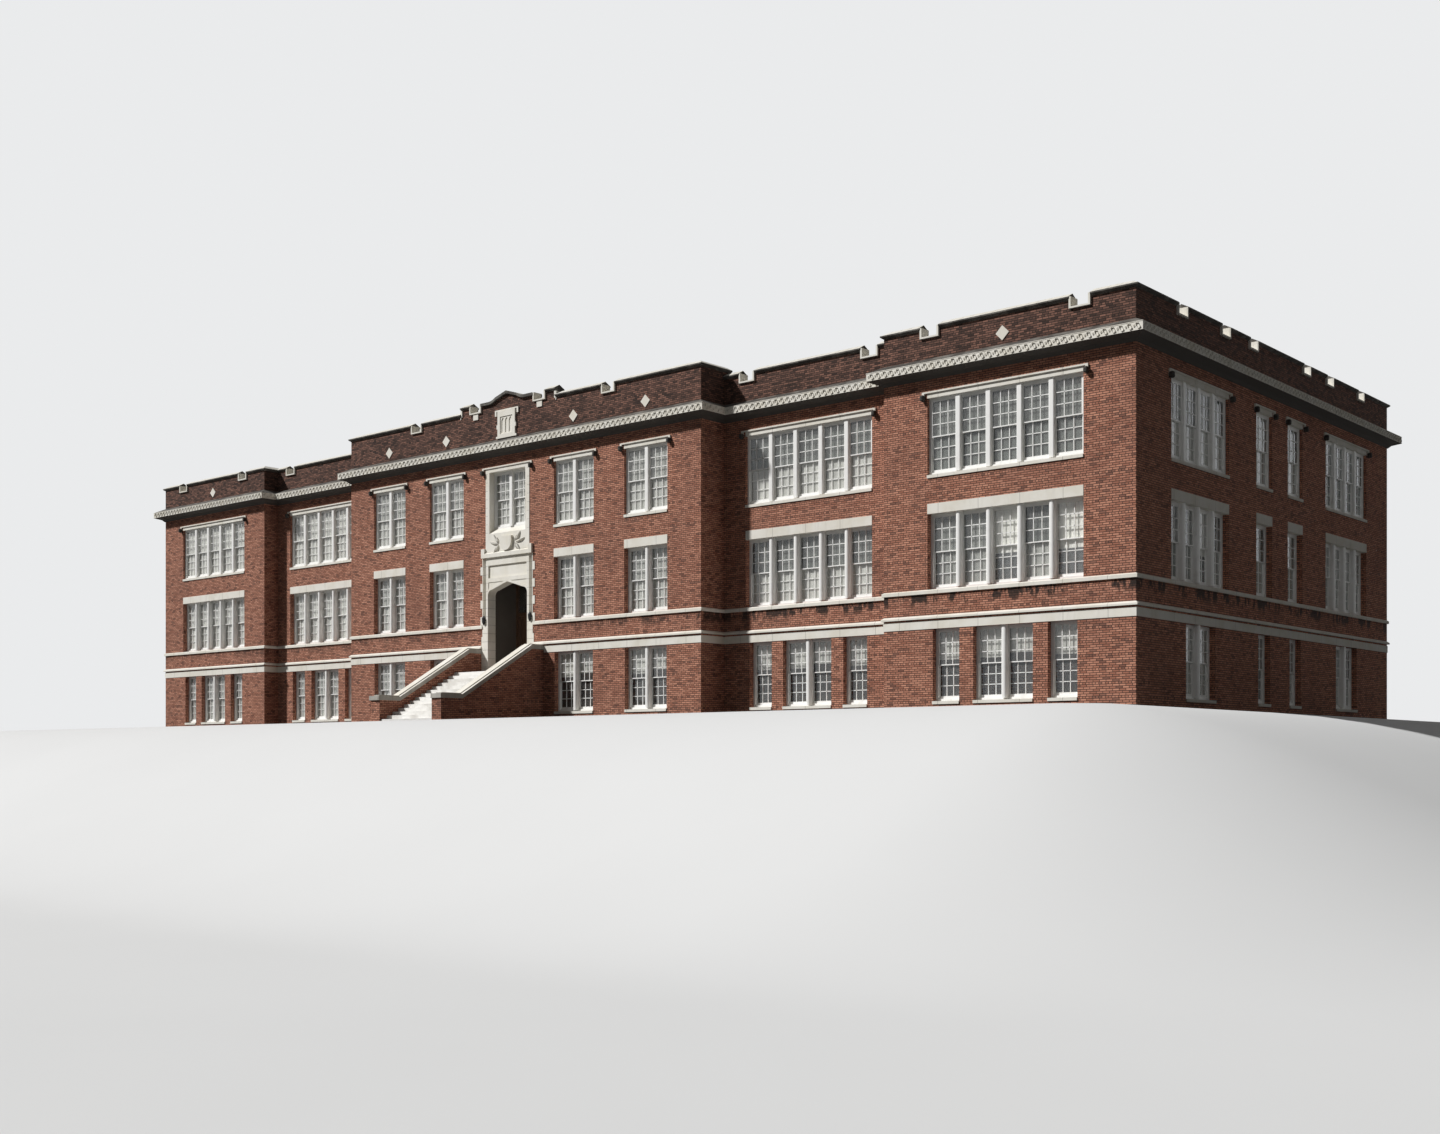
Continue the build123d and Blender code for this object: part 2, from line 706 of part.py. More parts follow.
def front_parapet():
    """Parapet along the stepped front, one mass of brickwork."""
    parapet = slice_of(CENTRE_FACE, centre_parapet_elevation(), PARAPET, 0)
    wing_top = brick_top(WING_PARAPET_TOP)
    centre_top = brick_top(CENTRE_PARAPET_TOP)
    for sign in (-1, 1):
        outer = sorted((sign * (HALF_CENTRE - PARAPET), sign * HALF_CENTRE))
        ends = (CENTRE_FRONT + PARAPET, RECESS_FRONT + PARAPET)
        parapet += block(*outer, *ends, PARAPET_BASE, centre_top)
        recess = sorted((sign * HALF_CENTRE, sign * (INNER_CORNER + PARAPET)))
        notches = [sign * RECESS_CENTRE + d for d in (-RECESS_NOTCH, RECESS_NOTCH)]
        parapet += parapet_plate(RECESS_FACE, *recess, WING_PARAPET_TOP, notches)
        inner = sorted((sign * INNER_CORNER, sign * (INNER_CORNER + PARAPET)))
        parapet += block(*inner, FRONT, RECESS_FRONT, PARAPET_BASE, wing_top)
        pavilion = sorted((sign * INNER_CORNER, sign * HALF_LENGTH))
        notches = [sign * PAVILION_CENTRE + d for d in (-PAVILION_NOTCH, PAVILION_NOTCH)]
        parapet += parapet_plate(PAVILION_FACE, *pavilion, WING_PARAPET_TOP, notches)
        side = sorted((sign * (HALF_LENGTH - PARAPET), sign * HALF_LENGTH))
        parapet += block(*side, FRONT, FRONT + FRONT_RETURN, PARAPET_BASE, wing_top)
    return parapet


def side_and_rear_parapet():
    """Parapet along both sides, with notches, and along the plain rear."""
    notches = [sign * d for sign in (-1, 1) for d in SIDE_NOTCHES]
    rear = parapet_plate(REAR_FACE, -HALF_LENGTH, HALF_LENGTH, WING_PARAPET_TOP, [])
    front_end = DEPTH / 2 - FRONT_RETURN
    back_end = DEPTH / 2
    right = parapet_plate(RIGHT_FACE, -front_end, back_end, WING_PARAPET_TOP, notches)
    left = parapet_plate(LEFT_FACE, -back_end, front_end, WING_PARAPET_TOP, notches)
    return rear + right + left


def notch_boxes(face, notches, level):
    """Solids that part a coping where the notches stand."""
    half = NOTCH_WIDTH / 2 + LINING
    ends = (brick_top(level) - 1, level + COPING_RISE + 1)
    reach = (PARAPET + 2 * COPING_OVERHANG, 2 * COPING_OVERHANG)
    return [on_face(face, u - half, u + half, *ends, *reach) for u in notches]


def wing_coping(sign):
    """Coping of one wing: side return, pavilion, inner return and recessed bay."""
    points = [
        (HALF_CENTRE, RECESS_FRONT),
        (INNER_CORNER, RECESS_FRONT),
        (INNER_CORNER, FRONT),
        (HALF_LENGTH, FRONT),
        (HALF_LENGTH, FRONT + FRONT_RETURN),
    ]
    if sign < 0:
        points = mirrored(points)
    coping = run_along(points, coping_section(WING_PARAPET_TOP))
    recess = [sign * RECESS_CENTRE + d for d in (-RECESS_NOTCH, RECESS_NOTCH)]
    pavilion = [sign * PAVILION_CENTRE + d for d in (-PAVILION_NOTCH, PAVILION_NOTCH)]
    cuts = notch_boxes(RECESS_FACE, recess, WING_PARAPET_TOP)
    cuts += notch_boxes(PAVILION_FACE, pavilion, WING_PARAPET_TOP)
    return (coping - cuts).solids()


def centre_coping(sign):
    """Coping of one half of the centre block beside the raised middle."""
    points = [
        (RAISED_HALF_WIDTH + LINING, CENTRE_FRONT),
        (HALF_CENTRE, CENTRE_FRONT),
        (HALF_CENTRE, RECESS_FRONT + PARAPET),
    ]
    if sign < 0:
        points = mirrored(points)
    coping = run_along(points, coping_section(CENTRE_PARAPET_TOP))
    cuts = notch_boxes(CENTRE_FACE, [sign * CENTRE_NOTCH], CENTRE_PARAPET_TOP)
    return (coping - cuts).solids()


def raised_copings():
    """Copings of the raised middle: a level piece at each end and the swept gable between."""
    inner_end = RAISED_NOTCH + NOTCH_WIDTH / 2 + LINING
    outer_end = RAISED_HALF_WIDTH + LINING
    pieces = []
    for sign in (-1, 1):
        ends = sorted((sign * inner_end, sign * outer_end))
        points = [(u, CENTRE_FRONT) for u in ends]
        pieces.append(run_along(points, coping_section(RAISED_PARAPET_TOP)))
    foot = RAISED_NOTCH - NOTCH_WIDTH / 2 - LINING
    low = brick_top(RAISED_PARAPET_TOP)
    thickness = COPING_EDGE + COPING_UNDERCUT
    upper = rectangle(-foot, foot, low, low + thickness) + gable_field(low + thickness)
    band = upper - gable_field(low)
    reach = (PARAPET + COPING_OVERHANG, COPING_OVERHANG)
    pieces.append(slice_of(CENTRE_FACE, band, *reach))
    return pieces


def side_and_rear_coping():
    """Coping along the sides and the rear."""
    points = [
        (HALF_LENGTH, FRONT + FRONT_RETURN),
        (HALF_LENGTH, REAR),
        (-HALF_LENGTH, REAR),
        (-HALF_LENGTH, FRONT + FRONT_RETURN),
    ]
    coping = run_along(points, coping_section(WING_PARAPET_TOP))
    side = [sign * d for sign in (-1, 1) for d in SIDE_NOTCHES]
    cuts = notch_boxes(RIGHT_FACE, side, WING_PARAPET_TOP)
    cuts += notch_boxes(LEFT_FACE, side, WING_PARAPET_TOP)
    return (coping - cuts).solids()


def notch_lining(face, u, level, corbel=False):
    """Stone lining of one notch: a sill between two jambs, and the small block below it."""
    half = NOTCH_WIDTH / 2
    floor_level = level - NOTCH_DEPTH
    bottom = floor_level - LINING_SILL
    outline = rectangle(u - half - LINING, u + half + LINING, bottom, level)
    outline -= rectangle(u - half, u + half, floor_level, level)
    lining = slice_of(face, outline, PARAPET, LINING_PROJECTION)
    if corbel:
        ends = (u - CORBEL_WIDTH / 2, u + CORBEL_WIDTH / 2, bottom - CORBEL_HEIGHT, bottom)
        lining += on_face(face, *ends, 0, LINING_PROJECTION)
    return lining


def notch_linings():
    """Linings of every notch, and the jambs at the steps of the raised middle."""
    pieces = []
    for sign in (-1, 1):
        for d in (-PAVILION_NOTCH, PAVILION_NOTCH):
            u = sign * PAVILION_CENTRE + d
            pieces.append(notch_lining(PAVILION_FACE, u, WING_PARAPET_TOP))
        for d in (-RECESS_NOTCH, RECESS_NOTCH):
            u = sign * RECESS_CENTRE + d
            pieces.append(notch_lining(RECESS_FACE, u, WING_PARAPET_TOP))
        pieces.append(notch_lining(CENTRE_FACE, sign * CENTRE_NOTCH, CENTRE_PARAPET_TOP))
        pieces.append(notch_lining(CENTRE_FACE, sign * RAISED_NOTCH, RAISED_PARAPET_TOP, True))
        for d in SIDE_NOTCHES:
            pieces.append(notch_lining(LEFT_FACE, sign * d, WING_PARAPET_TOP))
            pieces.append(notch_lining(RIGHT_FACE, sign * d, WING_PARAPET_TOP))
        jamb = sorted((sign * RAISED_HALF_WIDTH, sign * (RAISED_HALF_WIDTH + LINING)))
        levels = (brick_top(CENTRE_PARAPET_TOP), brick_top(RAISED_PARAPET_TOP))
        pieces.append(on_face(CENTRE_FACE, *jamb, *levels, PARAPET, LINING_PROJECTION))
    return pieces


def lozenges():
    """Square tiles set on their corners in the front parapet."""
    tile = Rot(0, 0, 45) * Rectangle(LOZENGE_DIAGONAL / 2**0.5, LOZENGE_DIAGONAL / 2**0.5)
    places = [(PAVILION_FACE, sign * PAVILION_CENTRE) for sign in (-1, 1)]
    pairs = (CENTRE_INNER_PAIR, CENTRE_OUTER_PAIR)
    places += [(CENTRE_FACE, sign * d) for sign in (-1, 1) for d in pairs]
    height = PARAPET_BASE + LOZENGE_RISE
    return [slice_of(face, Pos(u, height) * tile, 0, LOZENGE_THICKNESS) for face, u in places]


def lancet(u, bottom, top, width):
    """Pointed opening: a light with a two-centred head."""
    half = width / 2
    spring = top - width * 0.75
    sides = Polyline((u - half, spring), (u - half, bottom), (u + half, bottom), (u + half, spring))
    left = RadiusArc((u - half, spring), (u, top), width)
    right = RadiusArc((u, top), (u + half, spring), width)
    return make_face(Curve() + [sides, left, right])


def gable_tablet():
    """Stone tablet in the gable with three blind lancets under a hood mould."""
    half = TABLET_WIDTH / 2
    top = TABLET_BOTTOM + TABLET_HEIGHT
    outline = rectangle(-half, half, TABLET_BOTTOM, top)
    sill = half + TABLET_SILL_HEIGHT
    outline += rectangle(-sill, sill, TABLET_BOTTOM, TABLET_BOTTOM + TABLET_SILL_HEIGHT)
    middle = TABLET_BOTTOM + TABLET_HEIGHT / 2
    ear = half + TABLET_EAR
    outline += rectangle(-ear, ear, middle - TABLET_EAR_HEIGHT, middle)
    tablet = slice_of(CENTRE_FACE, outline, 0, TABLET_THICKNESS)
    field_half = half - TABLET_BORDER
    bottom = TABLET_BOTTOM + TABLET_SILL_HEIGHT + TABLET_BORDER / 2
    field_top = top - TABLET_BORDER * 1.6
    field = rectangle(-field_half, field_half, bottom, field_top)
    field_face = TABLET_THICKNESS - TABLET_SINKING
    tablet -= slice_of(CENTRE_FACE, field, -field_face, TABLET_THICKNESS)
    pitch = LANCET_WIDTH + LANCET_GAP
    floor_face = field_face - LANCET_SINKING
    for i in (-1, 0, 1):
        light = lancet(i * pitch, bottom + LANCET_GAP, field_top - LANCET_GAP, LANCET_WIDTH)
        tablet -= slice_of(CENTRE_FACE, light, -floor_face, field_face)
    hood_top = top + HOOD_HEIGHT
    tablet += slice_of(CENTRE_FACE, hood_profile(-half, half, hood_top), 0, HOOD_PROJECTION)
    return tablet


def arch_opening(half, bottom):
    """Door opening under a low pointed arch with rounded shoulders."""
    side = Polyline((-half, ARCH_SPRING), (-half, bottom), (half, bottom), (half, ARCH_SPRING))
    right = (half - ARCH_SHOULDER, ARCH_SPRING + ARCH_SHOULDER)
    left = (-right[0], right[1])
    right_turn = TangentArc((half, ARCH_SPRING), right, tangent=(0, 1))
    left_turn = TangentArc((-half, ARCH_SPRING), left, tangent=(0, 1))
    rake = Polyline(right, (0, ARCH_SPRING + ARCH_RISE), left)
    return make_face(Curve() + [side, right_turn, rake, left_turn])


def portal_surround():
    """Stone portal: toothed quoins, hollow moulding, inner strip, arch and sunk panel."""
    base = portal_outline() - rectangle(
        -PORTAL_BAY_HALF_WIDTH, PORTAL_BAY_HALF_WIDTH, PORTAL_TOP, HEAD_STONE_TOP
    )
    stone = slice_of(CENTRE_FACE, base, WALL, PORTAL_PROJECTION)
    stone -= slice_of(CENTRE_FACE, arch_opening(DOOR_HALF_WIDTH, LANDING_HEIGHT), WALL, WALL)
    strip = DOOR_HALF_WIDTH + JAMB_STRIP
    middle = strip + HOLLOW_WIDTH / 2
    for sign in (-1, 1):
        groove = Pos(sign * middle, CENTRE_FRONT - PORTAL_PROJECTION, (FIRST_SILL + PORTAL_TOP) / 2)
        stone -= groove * Cylinder(HOLLOW_WIDTH / 2, PORTAL_TOP - FIRST_SILL)
    half = PANEL_HALF_WIDTH
    panel = rectangle(-half, half, PANEL_BOTTOM, PANEL_TOP)
    stone -= slice_of(CENTRE_FACE, panel, PANEL_SINKING - PORTAL_PROJECTION, WALL)
    spandrels = rectangle(-half, half, ARCH_SPRING + ARCH_RISE / 2, SPANDREL_TOP)
    spandrels -= offset(arch_opening(DOOR_HALF_WIDTH, LANDING_HEIGHT), SPANDREL_MARGIN)
    return stone - slice_of(CENTRE_FACE, spandrels, SPANDREL_SINKING - PORTAL_PROJECTION, WALL)


def portal_hood():
    """Hood over the portal: a fascia with a weathered top and a shoulder at each end."""
    top = PORTAL_TOP + PORTAL_HOOD_HEIGHT
    profile = make_face(
        Polyline(
            (0, PORTAL_TOP),
            (PORTAL_HOOD_PROJECTION, PORTAL_TOP),
            (PORTAL_HOOD_PROJECTION, top),
            (0, top + PORTAL_HOOD_SLOPE),
            close=True,
        )
    )
    points = [(-PORTAL_HALF_WIDTH, CENTRE_FRONT), (PORTAL_HALF_WIDTH, CENTRE_FRONT)]
    hood = run_along(points, profile)
    levels = (PORTAL_TOP, PORTAL_TOP + PORTAL_HOOD_SHOULDER)
    for sign in (-1, 1):
        ends = sorted((sign * WINDOW_SURROUND_HALF_WIDTH, sign * PORTAL_HALF_WIDTH))
        hood += on_face(CENTRE_FACE, *ends, *levels, 0, PORTAL_HOOD_PROJECTION)
    return hood


def shield_outline(width, bottom, top):
    """Shield: straight top, straight sides and a round foot."""
    half = width / 2
    waist = bottom + (top - bottom) * 0.6
    sides = Polyline((-half, waist), (-half, top), (half, top), (half, waist))
    right = TangentArc((half, waist), (0, bottom), tangent=(0, -1))
    left = TangentArc((-half, waist), (0, bottom), tangent=(0, -1))
    return make_face(Curve() + [sides, right, left])


def shield_panel():
    """Stone panel between portal and window, with a plain shield in relief."""
    half = WINDOW_SURROUND_HALF_WIDTH
    bottom = PORTAL_TOP + PORTAL_HOOD_HEIGHT + PORTAL_HOOD_SLOPE
    top = WINDOW_SURROUND_BOTTOM
    panel = on_face(CENTRE_FACE, -half, half, PORTAL_TOP, top, WALL, 0)
    raised = rectangle(-half, half, bottom, top)
    panel += slice_of(CENTRE_FACE, raised, 0, PORTAL_PROJECTION)
    shield = shield_outline(SHIELD_WIDTH, bottom, top - PORTAL_PROJECTION)
    return panel + slice_of(CENTRE_FACE, shield, 0, PORTAL_PROJECTION + SHIELD_RELIEF)


def portal_window_surround():
    """Stone surround of the window over the portal, with its steep sill and hood mould."""
    half = WINDOW_SURROUND_HALF_WIDTH
    outline = rectangle(-half, half, WINDOW_SURROUND_BOTTOM, HEAD_STONE_TOP)
    light = PORTAL_PAIR_WIDTH / 2
    outline -= rectangle(-light, light, PORTAL_WINDOW_SILL, SECOND_HEAD)
    stone = slice_of(CENTRE_FACE, outline, WALL, PORTAL_PROJECTION)
    reach = PORTAL_WINDOW_REVEAL + PORTAL_PROJECTION
    drop = PORTAL_WINDOW_SILL - WINDOW_SURROUND_BOTTOM
    slope = make_face(
        Polyline(
            (PORTAL_PROJECTION, PORTAL_WINDOW_SILL),
            (PORTAL_PROJECTION, PORTAL_WINDOW_SILL - drop * 0.6),
            (PORTAL_PROJECTION - reach, PORTAL_WINDOW_SILL),
            close=True,
        )
    )
    stone -= run_along([(-light, CENTRE_FRONT), (light, CENTRE_FRONT)], slope)
    top = HEAD_STONE_TOP + HOOD_HEIGHT
    return stone + slice_of(CENTRE_FACE, hood_profile(-half, half, top), 0, HOOD_PROJECTION)


def porch_walls():
    """Side walls and ceiling of the porch and the lobby behind it."""
    inner = PORCH_HALF_WIDTH
    outer = inner + PORCH_WALL
    start = CENTRE_FRONT + WALL
    end = DOOR_PLANE + LOBBY_DEPTH
    top = PORCH_CEILING + PORCH_WALL
    walls = block(-outer, outer, start, end, BASEMENT_FLOOR_TOP, top)
    return walls - block(-inner, inner, start, end, BASEMENT_FLOOR_TOP, PORCH_CEILING)


def porch_floor():
    """Floor of the porch and the lobby, with the threshold between the portal's jambs."""
    start = CENTRE_FRONT + WALL
    end = DOOR_PLANE + LOBBY_DEPTH
    levels = (LANDING_HEIGHT - PORCH_WALL, LANDING_HEIGHT)
    return block(-PORCH_HALF_WIDTH, PORCH_HALF_WIDTH, start, end, *levels)


def door_frame():
    """Frame of the doors with a light over the transom bar and the stops that the leaves meet."""
    face = face_along_x(DOOR_PLANE)
    inner = PORCH_HALF_WIDTH - DOOR_FRAME
    head = LANDING_HEIGHT + DOOR_HEIGHT
    sketch = rectangle(-PORCH_HALF_WIDTH, PORCH_HALF_WIDTH, LANDING_HEIGHT, PORCH_CEILING)
    sketch -= rectangle(-inner, inner, LANDING_HEIGHT, head)
    sketch -= rectangle(-inner, inner, head + DOOR_FRAME, PORCH_CEILING - DOOR_FRAME)
    stop = rectangle(-inner, inner, LANDING_HEIGHT, head)
    stop -= rectangle(DOOR_STOP - inner, inner - DOOR_STOP, LANDING_HEIGHT, head - DOOR_STOP)
    return slice_of(face, sketch, FRAME_DEPTH, 0) + slice_of(face, stop, DOOR_THICKNESS, 0)


def door_leaf(sign):
    """One leaf of the doors: stiles, rails and two sunk panels."""
    inner = PORCH_HALF_WIDTH - DOOR_FRAME
    ends = sorted((sign * DOOR_GAP / 2, sign * (inner - DOOR_GAP)))
    bottom = LANDING_HEIGHT + DOOR_GAP
    top = LANDING_HEIGHT + DOOR_HEIGHT - DOOR_GAP
    face = face_along_x(DOOR_PLANE + DOOR_THICKNESS)
    leaf = on_face(face, *ends, bottom, top, DOOR_THICKNESS, 0)
    middle = bottom + (top - bottom) * 0.4
    left, right = ends[0] + DOOR_FRAME, ends[1] - DOOR_FRAME
    sinking = DOOR_THICKNESS / 3
    lower = rectangle(left, right, bottom + DOOR_FRAME, middle - DOOR_FRAME / 2)
    upper = rectangle(left, right, middle + DOOR_FRAME / 2, top - DOOR_FRAME)
    return leaf - slice_of(face, lower + upper, sinking, 0)


def transom_glass():
    """Glass over the doors."""
    inner = PORCH_HALF_WIDTH - DOOR_FRAME
    bottom = LANDING_HEIGHT + DOOR_HEIGHT + DOOR_FRAME
    middle = DOOR_PLANE + FRAME_DEPTH / 2
    top = PORCH_CEILING - DOOR_FRAME
    return block(-inner, inner, middle, middle + GLASS, bottom, top)


def lantern(sign):
    """Small wall lantern: a six-sided body between two tapering caps, on a short arm."""
    middle = DOOR_HALF_WIDTH + JAMB_STRIP + HOLLOW_WIDTH / 2
    front = CENTRE_FRONT - PORTAL_PROJECTION
    y = front - LANTERN_ARM
    bottom = FIRST_SILL + LANTERN_RISE
    taper = LANTERN_HEIGHT * 0.25
    levels = (0, taper, LANTERN_HEIGHT - taper, LANTERN_HEIGHT)
    widths = (0.35, 0.85, 1.0, 0.25)
    body = None
    for i in range(3):
        sections = []
        for level, width in ((levels[i], widths[i]), (levels[i + 1], widths[i + 1])):
            at = Plane((sign * middle, y, bottom + level))
            sections.append(at * RegularPolygon(LANTERN_WIDTH / 2 * width, 6))
        stage = loft(sections, ruled=True)
        body = stage if body is None else body + stage
    half = LANTERN_ARM / 2
    centre = bottom + LANTERN_HEIGHT / 2
    strip = DOOR_HALF_WIDTH + JAMB_STRIP
    plate = sorted((sign * (strip - half), sign * (strip + HOLLOW_WIDTH + half)))
    return body + block(*plate, front - half, front, centre - half, centre + half)


def entrance_steps():
    """Solid flight between the cheek walls, below the landing."""
    points = [(STAIR_TOP, 0), (STAIR_FOOT, 0)]
    for i in range(RISERS - 1):
        level = (i + 1) * RISER
        points.append((STAIR_FOOT + i * TREAD, level))
        points.append((STAIR_FOOT + (i + 1) * TREAD, level))
    side = Plane((-STAIR_HALF_WIDTH, 0, 0), x_dir=(0, 1, 0), z_dir=(1, 0, 0))
    profile = make_face(Polyline(*points, close=True))
    return side.location * extrude(profile, amount=2 * STAIR_HALF_WIDTH)


def entrance_landing():
    """Landing in front of the portal."""
    half = STAIR_HALF_WIDTH
    return block(-half, half, STAIR_TOP, CENTRE_FRONT, 0, LANDING_HEIGHT)


def cheek_line():
    """Top of a cheek wall from its front end to the building: level, slope, level."""
    front = STAIR_FOOT - CHEEK_NOSE
    return [
        (front, CHEEK_FRONT_HEIGHT),
        (front + CHEEK_FRONT_LENGTH, CHEEK_FRONT_HEIGHT),
        (CENTRE_FRONT - CHEEK_REAR_LENGTH, CHEEK_REAR_HEIGHT),
        (CENTRE_FRONT, CHEEK_REAR_HEIGHT),
    ]


def cheek_plane(sign):
    """Plane of a cheek wall's inner face, drawn along +Y and up."""
    return Plane((sign * STAIR_HALF_WIDTH, 0, 0), x_dir=(0, 1, 0), z_dir=(1, 0, 0))


def cheek_wall(sign):
    """Brick cheek wall under its coping."""
    line = [(y, z - CHEEK_COPING) for y, z in cheek_line()]
    profile = make_face(Polyline(*line, (CENTRE_FRONT, 0), (line[0][0], 0), close=True))
    return cheek_plane(sign).location * extrude(profile, amount=sign * CHEEK_THICKNESS)


def cheek_coping(sign):
    """Stone coping that follows the cheek wall: a wide slab with a narrower raised middle."""
    raised = cheek_line()
    front = raised[0][0] - CHEEK_COPING_OVERHANG
    raised[0] = (front + CHEEK_RAISED_INSET, raised[0][1])
    slab = [(y, z - CHEEK_RAISED_EDGE) for y, z in raised]
    slab[0] = (front, slab[0][1])
    under = [(y, z - CHEEK_COPING) for y, z in reversed(cheek_line())]
    under[-1] = (front, under[-1][1])
    outer = CHEEK_THICKNESS + CHEEK_COPING_OVERHANG
    slab_side = make_face(Polyline(*slab, *under, close=True))
    coping = cheek_plane(sign).location * extrude(slab_side, amount=sign * outer)
    raised_side = make_face(Polyline(*raised, *reversed(slab[1:]), (raised[0][0], slab[0][1]), close=True))
    start = cheek_plane(sign).location * Pos(0, 0, sign * CHEEK_RAISED_INSET)
    width = outer - 2 * CHEEK_RAISED_INSET
    return coping + start * extrude(raised_side, amount=sign * width)


def windows_of(storey):
    """All plain windows of one storey."""
    return [window for window in PLAIN_WINDOWS if window.storey == storey]


def write(name, pieces):
    """Write one node: a solid, or solids that do not touch."""
    if not isinstance(pieces, (list, ShapeList)):
        pieces = [pieces]
    solids = [solid for piece in pieces for solid in piece.solids()]
    shape = solids[0] if len(solids) == 1 else Compound(children=solids)
    export_step(shape, f"parts/{name}.step")


def main():
    os.makedirs("parts", exist_ok=True)

    write("basement_floor", floor(BASEMENT_FLOOR_TOP, BASEMENT_FLOOR_TOP))
    write("first_floor", floor(FIRST_FLOOR_TOP, FLOOR_THICKNESS, lobby_cutout()))
    write("second_floor", floor(SECOND_FLOOR_TOP, FLOOR_THICKNESS))
    write("roof_deck", floor(PARAPET_BASE, ROOF_THICKNESS))

    write("left_pavilion_wall", pavilion_wall(-1))
    write("left_recess_wall", recess_wall(-1))
    write("centre_left_wall", centre_wall(-1))
    write("portal_bay_wall", portal_bay_wall())
    write("centre_right_wall", centre_wall(1))
    write("right_recess_wall", recess_wall(1))
    write("right_pavilion_wall", pavilion_wall(1))
    write("left_side_wall", side_wall(LEFT_FACE, LEFT_WINDOWS))
    write("right_side_wall", side_wall(RIGHT_FACE, RIGHT_WINDOWS))
    write("rear_wall", rear_wall())

    write("front_parapet", front_parapet())
    write("side_and_rear_parapet", side_and_rear_parapet())
    wings = [*wing_coping(-1), *wing_coping(1)]
    write("front_coping", [*wings, *centre_coping(-1), *centre_coping(1), *raised_copings()])
    write("side_and_rear_coping", side_and_rear_coping())
    write("notch_linings", notch_linings())
    write("lozenge_tiles", lozenges())
    write("gable_tablet", gable_tablet())
    write("front_cornice", front_cornice())
    write("side_and_rear_cornice", side_and_rear_cornice())
    write("string_courses", string_courses())

    write("first_floor_lintels", [first_floor_lintel(w) for w in windows_of(FIRST)])
    write("second_floor_hoods", [second_floor_head(w) for w in windows_of(SECOND)])
    write("window_sills", [window_sill(w) for w in windows_of(BASEMENT) + windows_of(SECOND)])
    second = [*windows_of(SECOND), PORTAL_WINDOW]
    write("basement_window_frames", [window_frame(w) for w in windows_of(BASEMENT)])
    write("first_floor_window_frames", [window_frame(w) for w in windows_of(FIRST)])
    write("second_floor_window_frames", [window_frame(w) for w in second])
    write("basement_glass", [window_glass(w) for w in windows_of(BASEMENT)])
    write("first_floor_glass", [*[window_glass(w) for w in windows_of(FIRST)], transom_glass()])
    write("second_floor_glass", [window_glass(w) for w in second])

    write("portal_surround", portal_surround())
    write("portal_hood", portal_hood())
    write("shield_panel", shield_panel())
    write("portal_window_surround", portal_window_surround())
    write("porch_walls", porch_walls())
    write("porch_floor", porch_floor())
    write("entrance_door_frame", door_frame())
    write("entrance_doors", [door_leaf(-1), door_leaf(1)])
    write("portal_lanterns", [lantern(-1), lantern(1)])

    write("entrance_steps", entrance_steps())
    write("entrance_landing", entrance_landing())
    write("stair_cheek_walls", [cheek_wall(-1), cheek_wall(1)])
    write("cheek_wall_copings", [cheek_coping(-1), cheek_coping(1)])


if __name__ == "__main__":
    main()
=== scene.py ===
# %% [markdown]
# # Dressing a brick school
# The CAD model already holds the walls, floors, stone trim, window frames and stair, at half the
# real size. What it lacks is everything the eye reads as age and craft: courses of brick, stains
# under the sills, nine-pane sashes, window shades and the carved band of the cornice. This script
# adds those around the fixed frame and changes nothing that the frame already holds.

import math
import random

import bmesh
import bpy
from mathutils import Matrix, Vector


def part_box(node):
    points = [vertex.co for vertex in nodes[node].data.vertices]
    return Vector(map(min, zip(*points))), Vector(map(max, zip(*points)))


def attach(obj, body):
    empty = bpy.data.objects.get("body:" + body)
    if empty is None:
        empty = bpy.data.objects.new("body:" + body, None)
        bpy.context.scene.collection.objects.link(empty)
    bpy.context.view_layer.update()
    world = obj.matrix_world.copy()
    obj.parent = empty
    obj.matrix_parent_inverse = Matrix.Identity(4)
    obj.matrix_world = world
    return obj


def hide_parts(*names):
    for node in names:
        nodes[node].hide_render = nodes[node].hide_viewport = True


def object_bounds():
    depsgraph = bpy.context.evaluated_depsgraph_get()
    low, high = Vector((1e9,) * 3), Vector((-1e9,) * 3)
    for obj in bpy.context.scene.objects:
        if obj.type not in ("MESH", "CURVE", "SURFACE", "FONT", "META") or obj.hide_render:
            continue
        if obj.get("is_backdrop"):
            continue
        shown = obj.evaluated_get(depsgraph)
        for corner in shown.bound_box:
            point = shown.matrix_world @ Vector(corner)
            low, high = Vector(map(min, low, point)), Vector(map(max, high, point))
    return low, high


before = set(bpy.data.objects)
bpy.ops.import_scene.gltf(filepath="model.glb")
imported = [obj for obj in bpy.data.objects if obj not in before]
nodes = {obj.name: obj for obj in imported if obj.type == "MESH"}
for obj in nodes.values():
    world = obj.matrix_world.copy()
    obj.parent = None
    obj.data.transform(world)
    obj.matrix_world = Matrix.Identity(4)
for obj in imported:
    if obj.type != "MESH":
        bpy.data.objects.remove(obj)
cad_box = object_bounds()
print("nodes", len(nodes), "box", [[round(c, 3) for c in corner] for corner in cad_box])

# %% [markdown]
# Everything below is in metres of the half-size model. Real building sizes are easier to check
# against bricks and doors, so a real size is halved once, here, and used halved from then on.

# %% The scale of the model
MODEL_SCALE = 0.5


def real(metres):
    """A size of the real building, in metres of the model."""
    return metres * MODEL_SCALE


print("one metre of the school is", real(1.0), "m here")

# %% [markdown]
# ## Shader arithmetic
# A finish such as brickwork is mostly sums: which course, which brick, how far from the joint. As
# chains of Math nodes these sums are hard to read, so a small class wraps a socket and lets plain
# Python operators add the nodes. Anything that isn't arithmetic comes from one method, `node`.

# %% Sockets that can be added and multiplied
def adds(operation):
    """A method that adds a Math node with one operation."""

    def method(self, *others):
        return self.finish.node("ShaderNodeMath", {"operation": operation}, {}, self, *others)

    return method


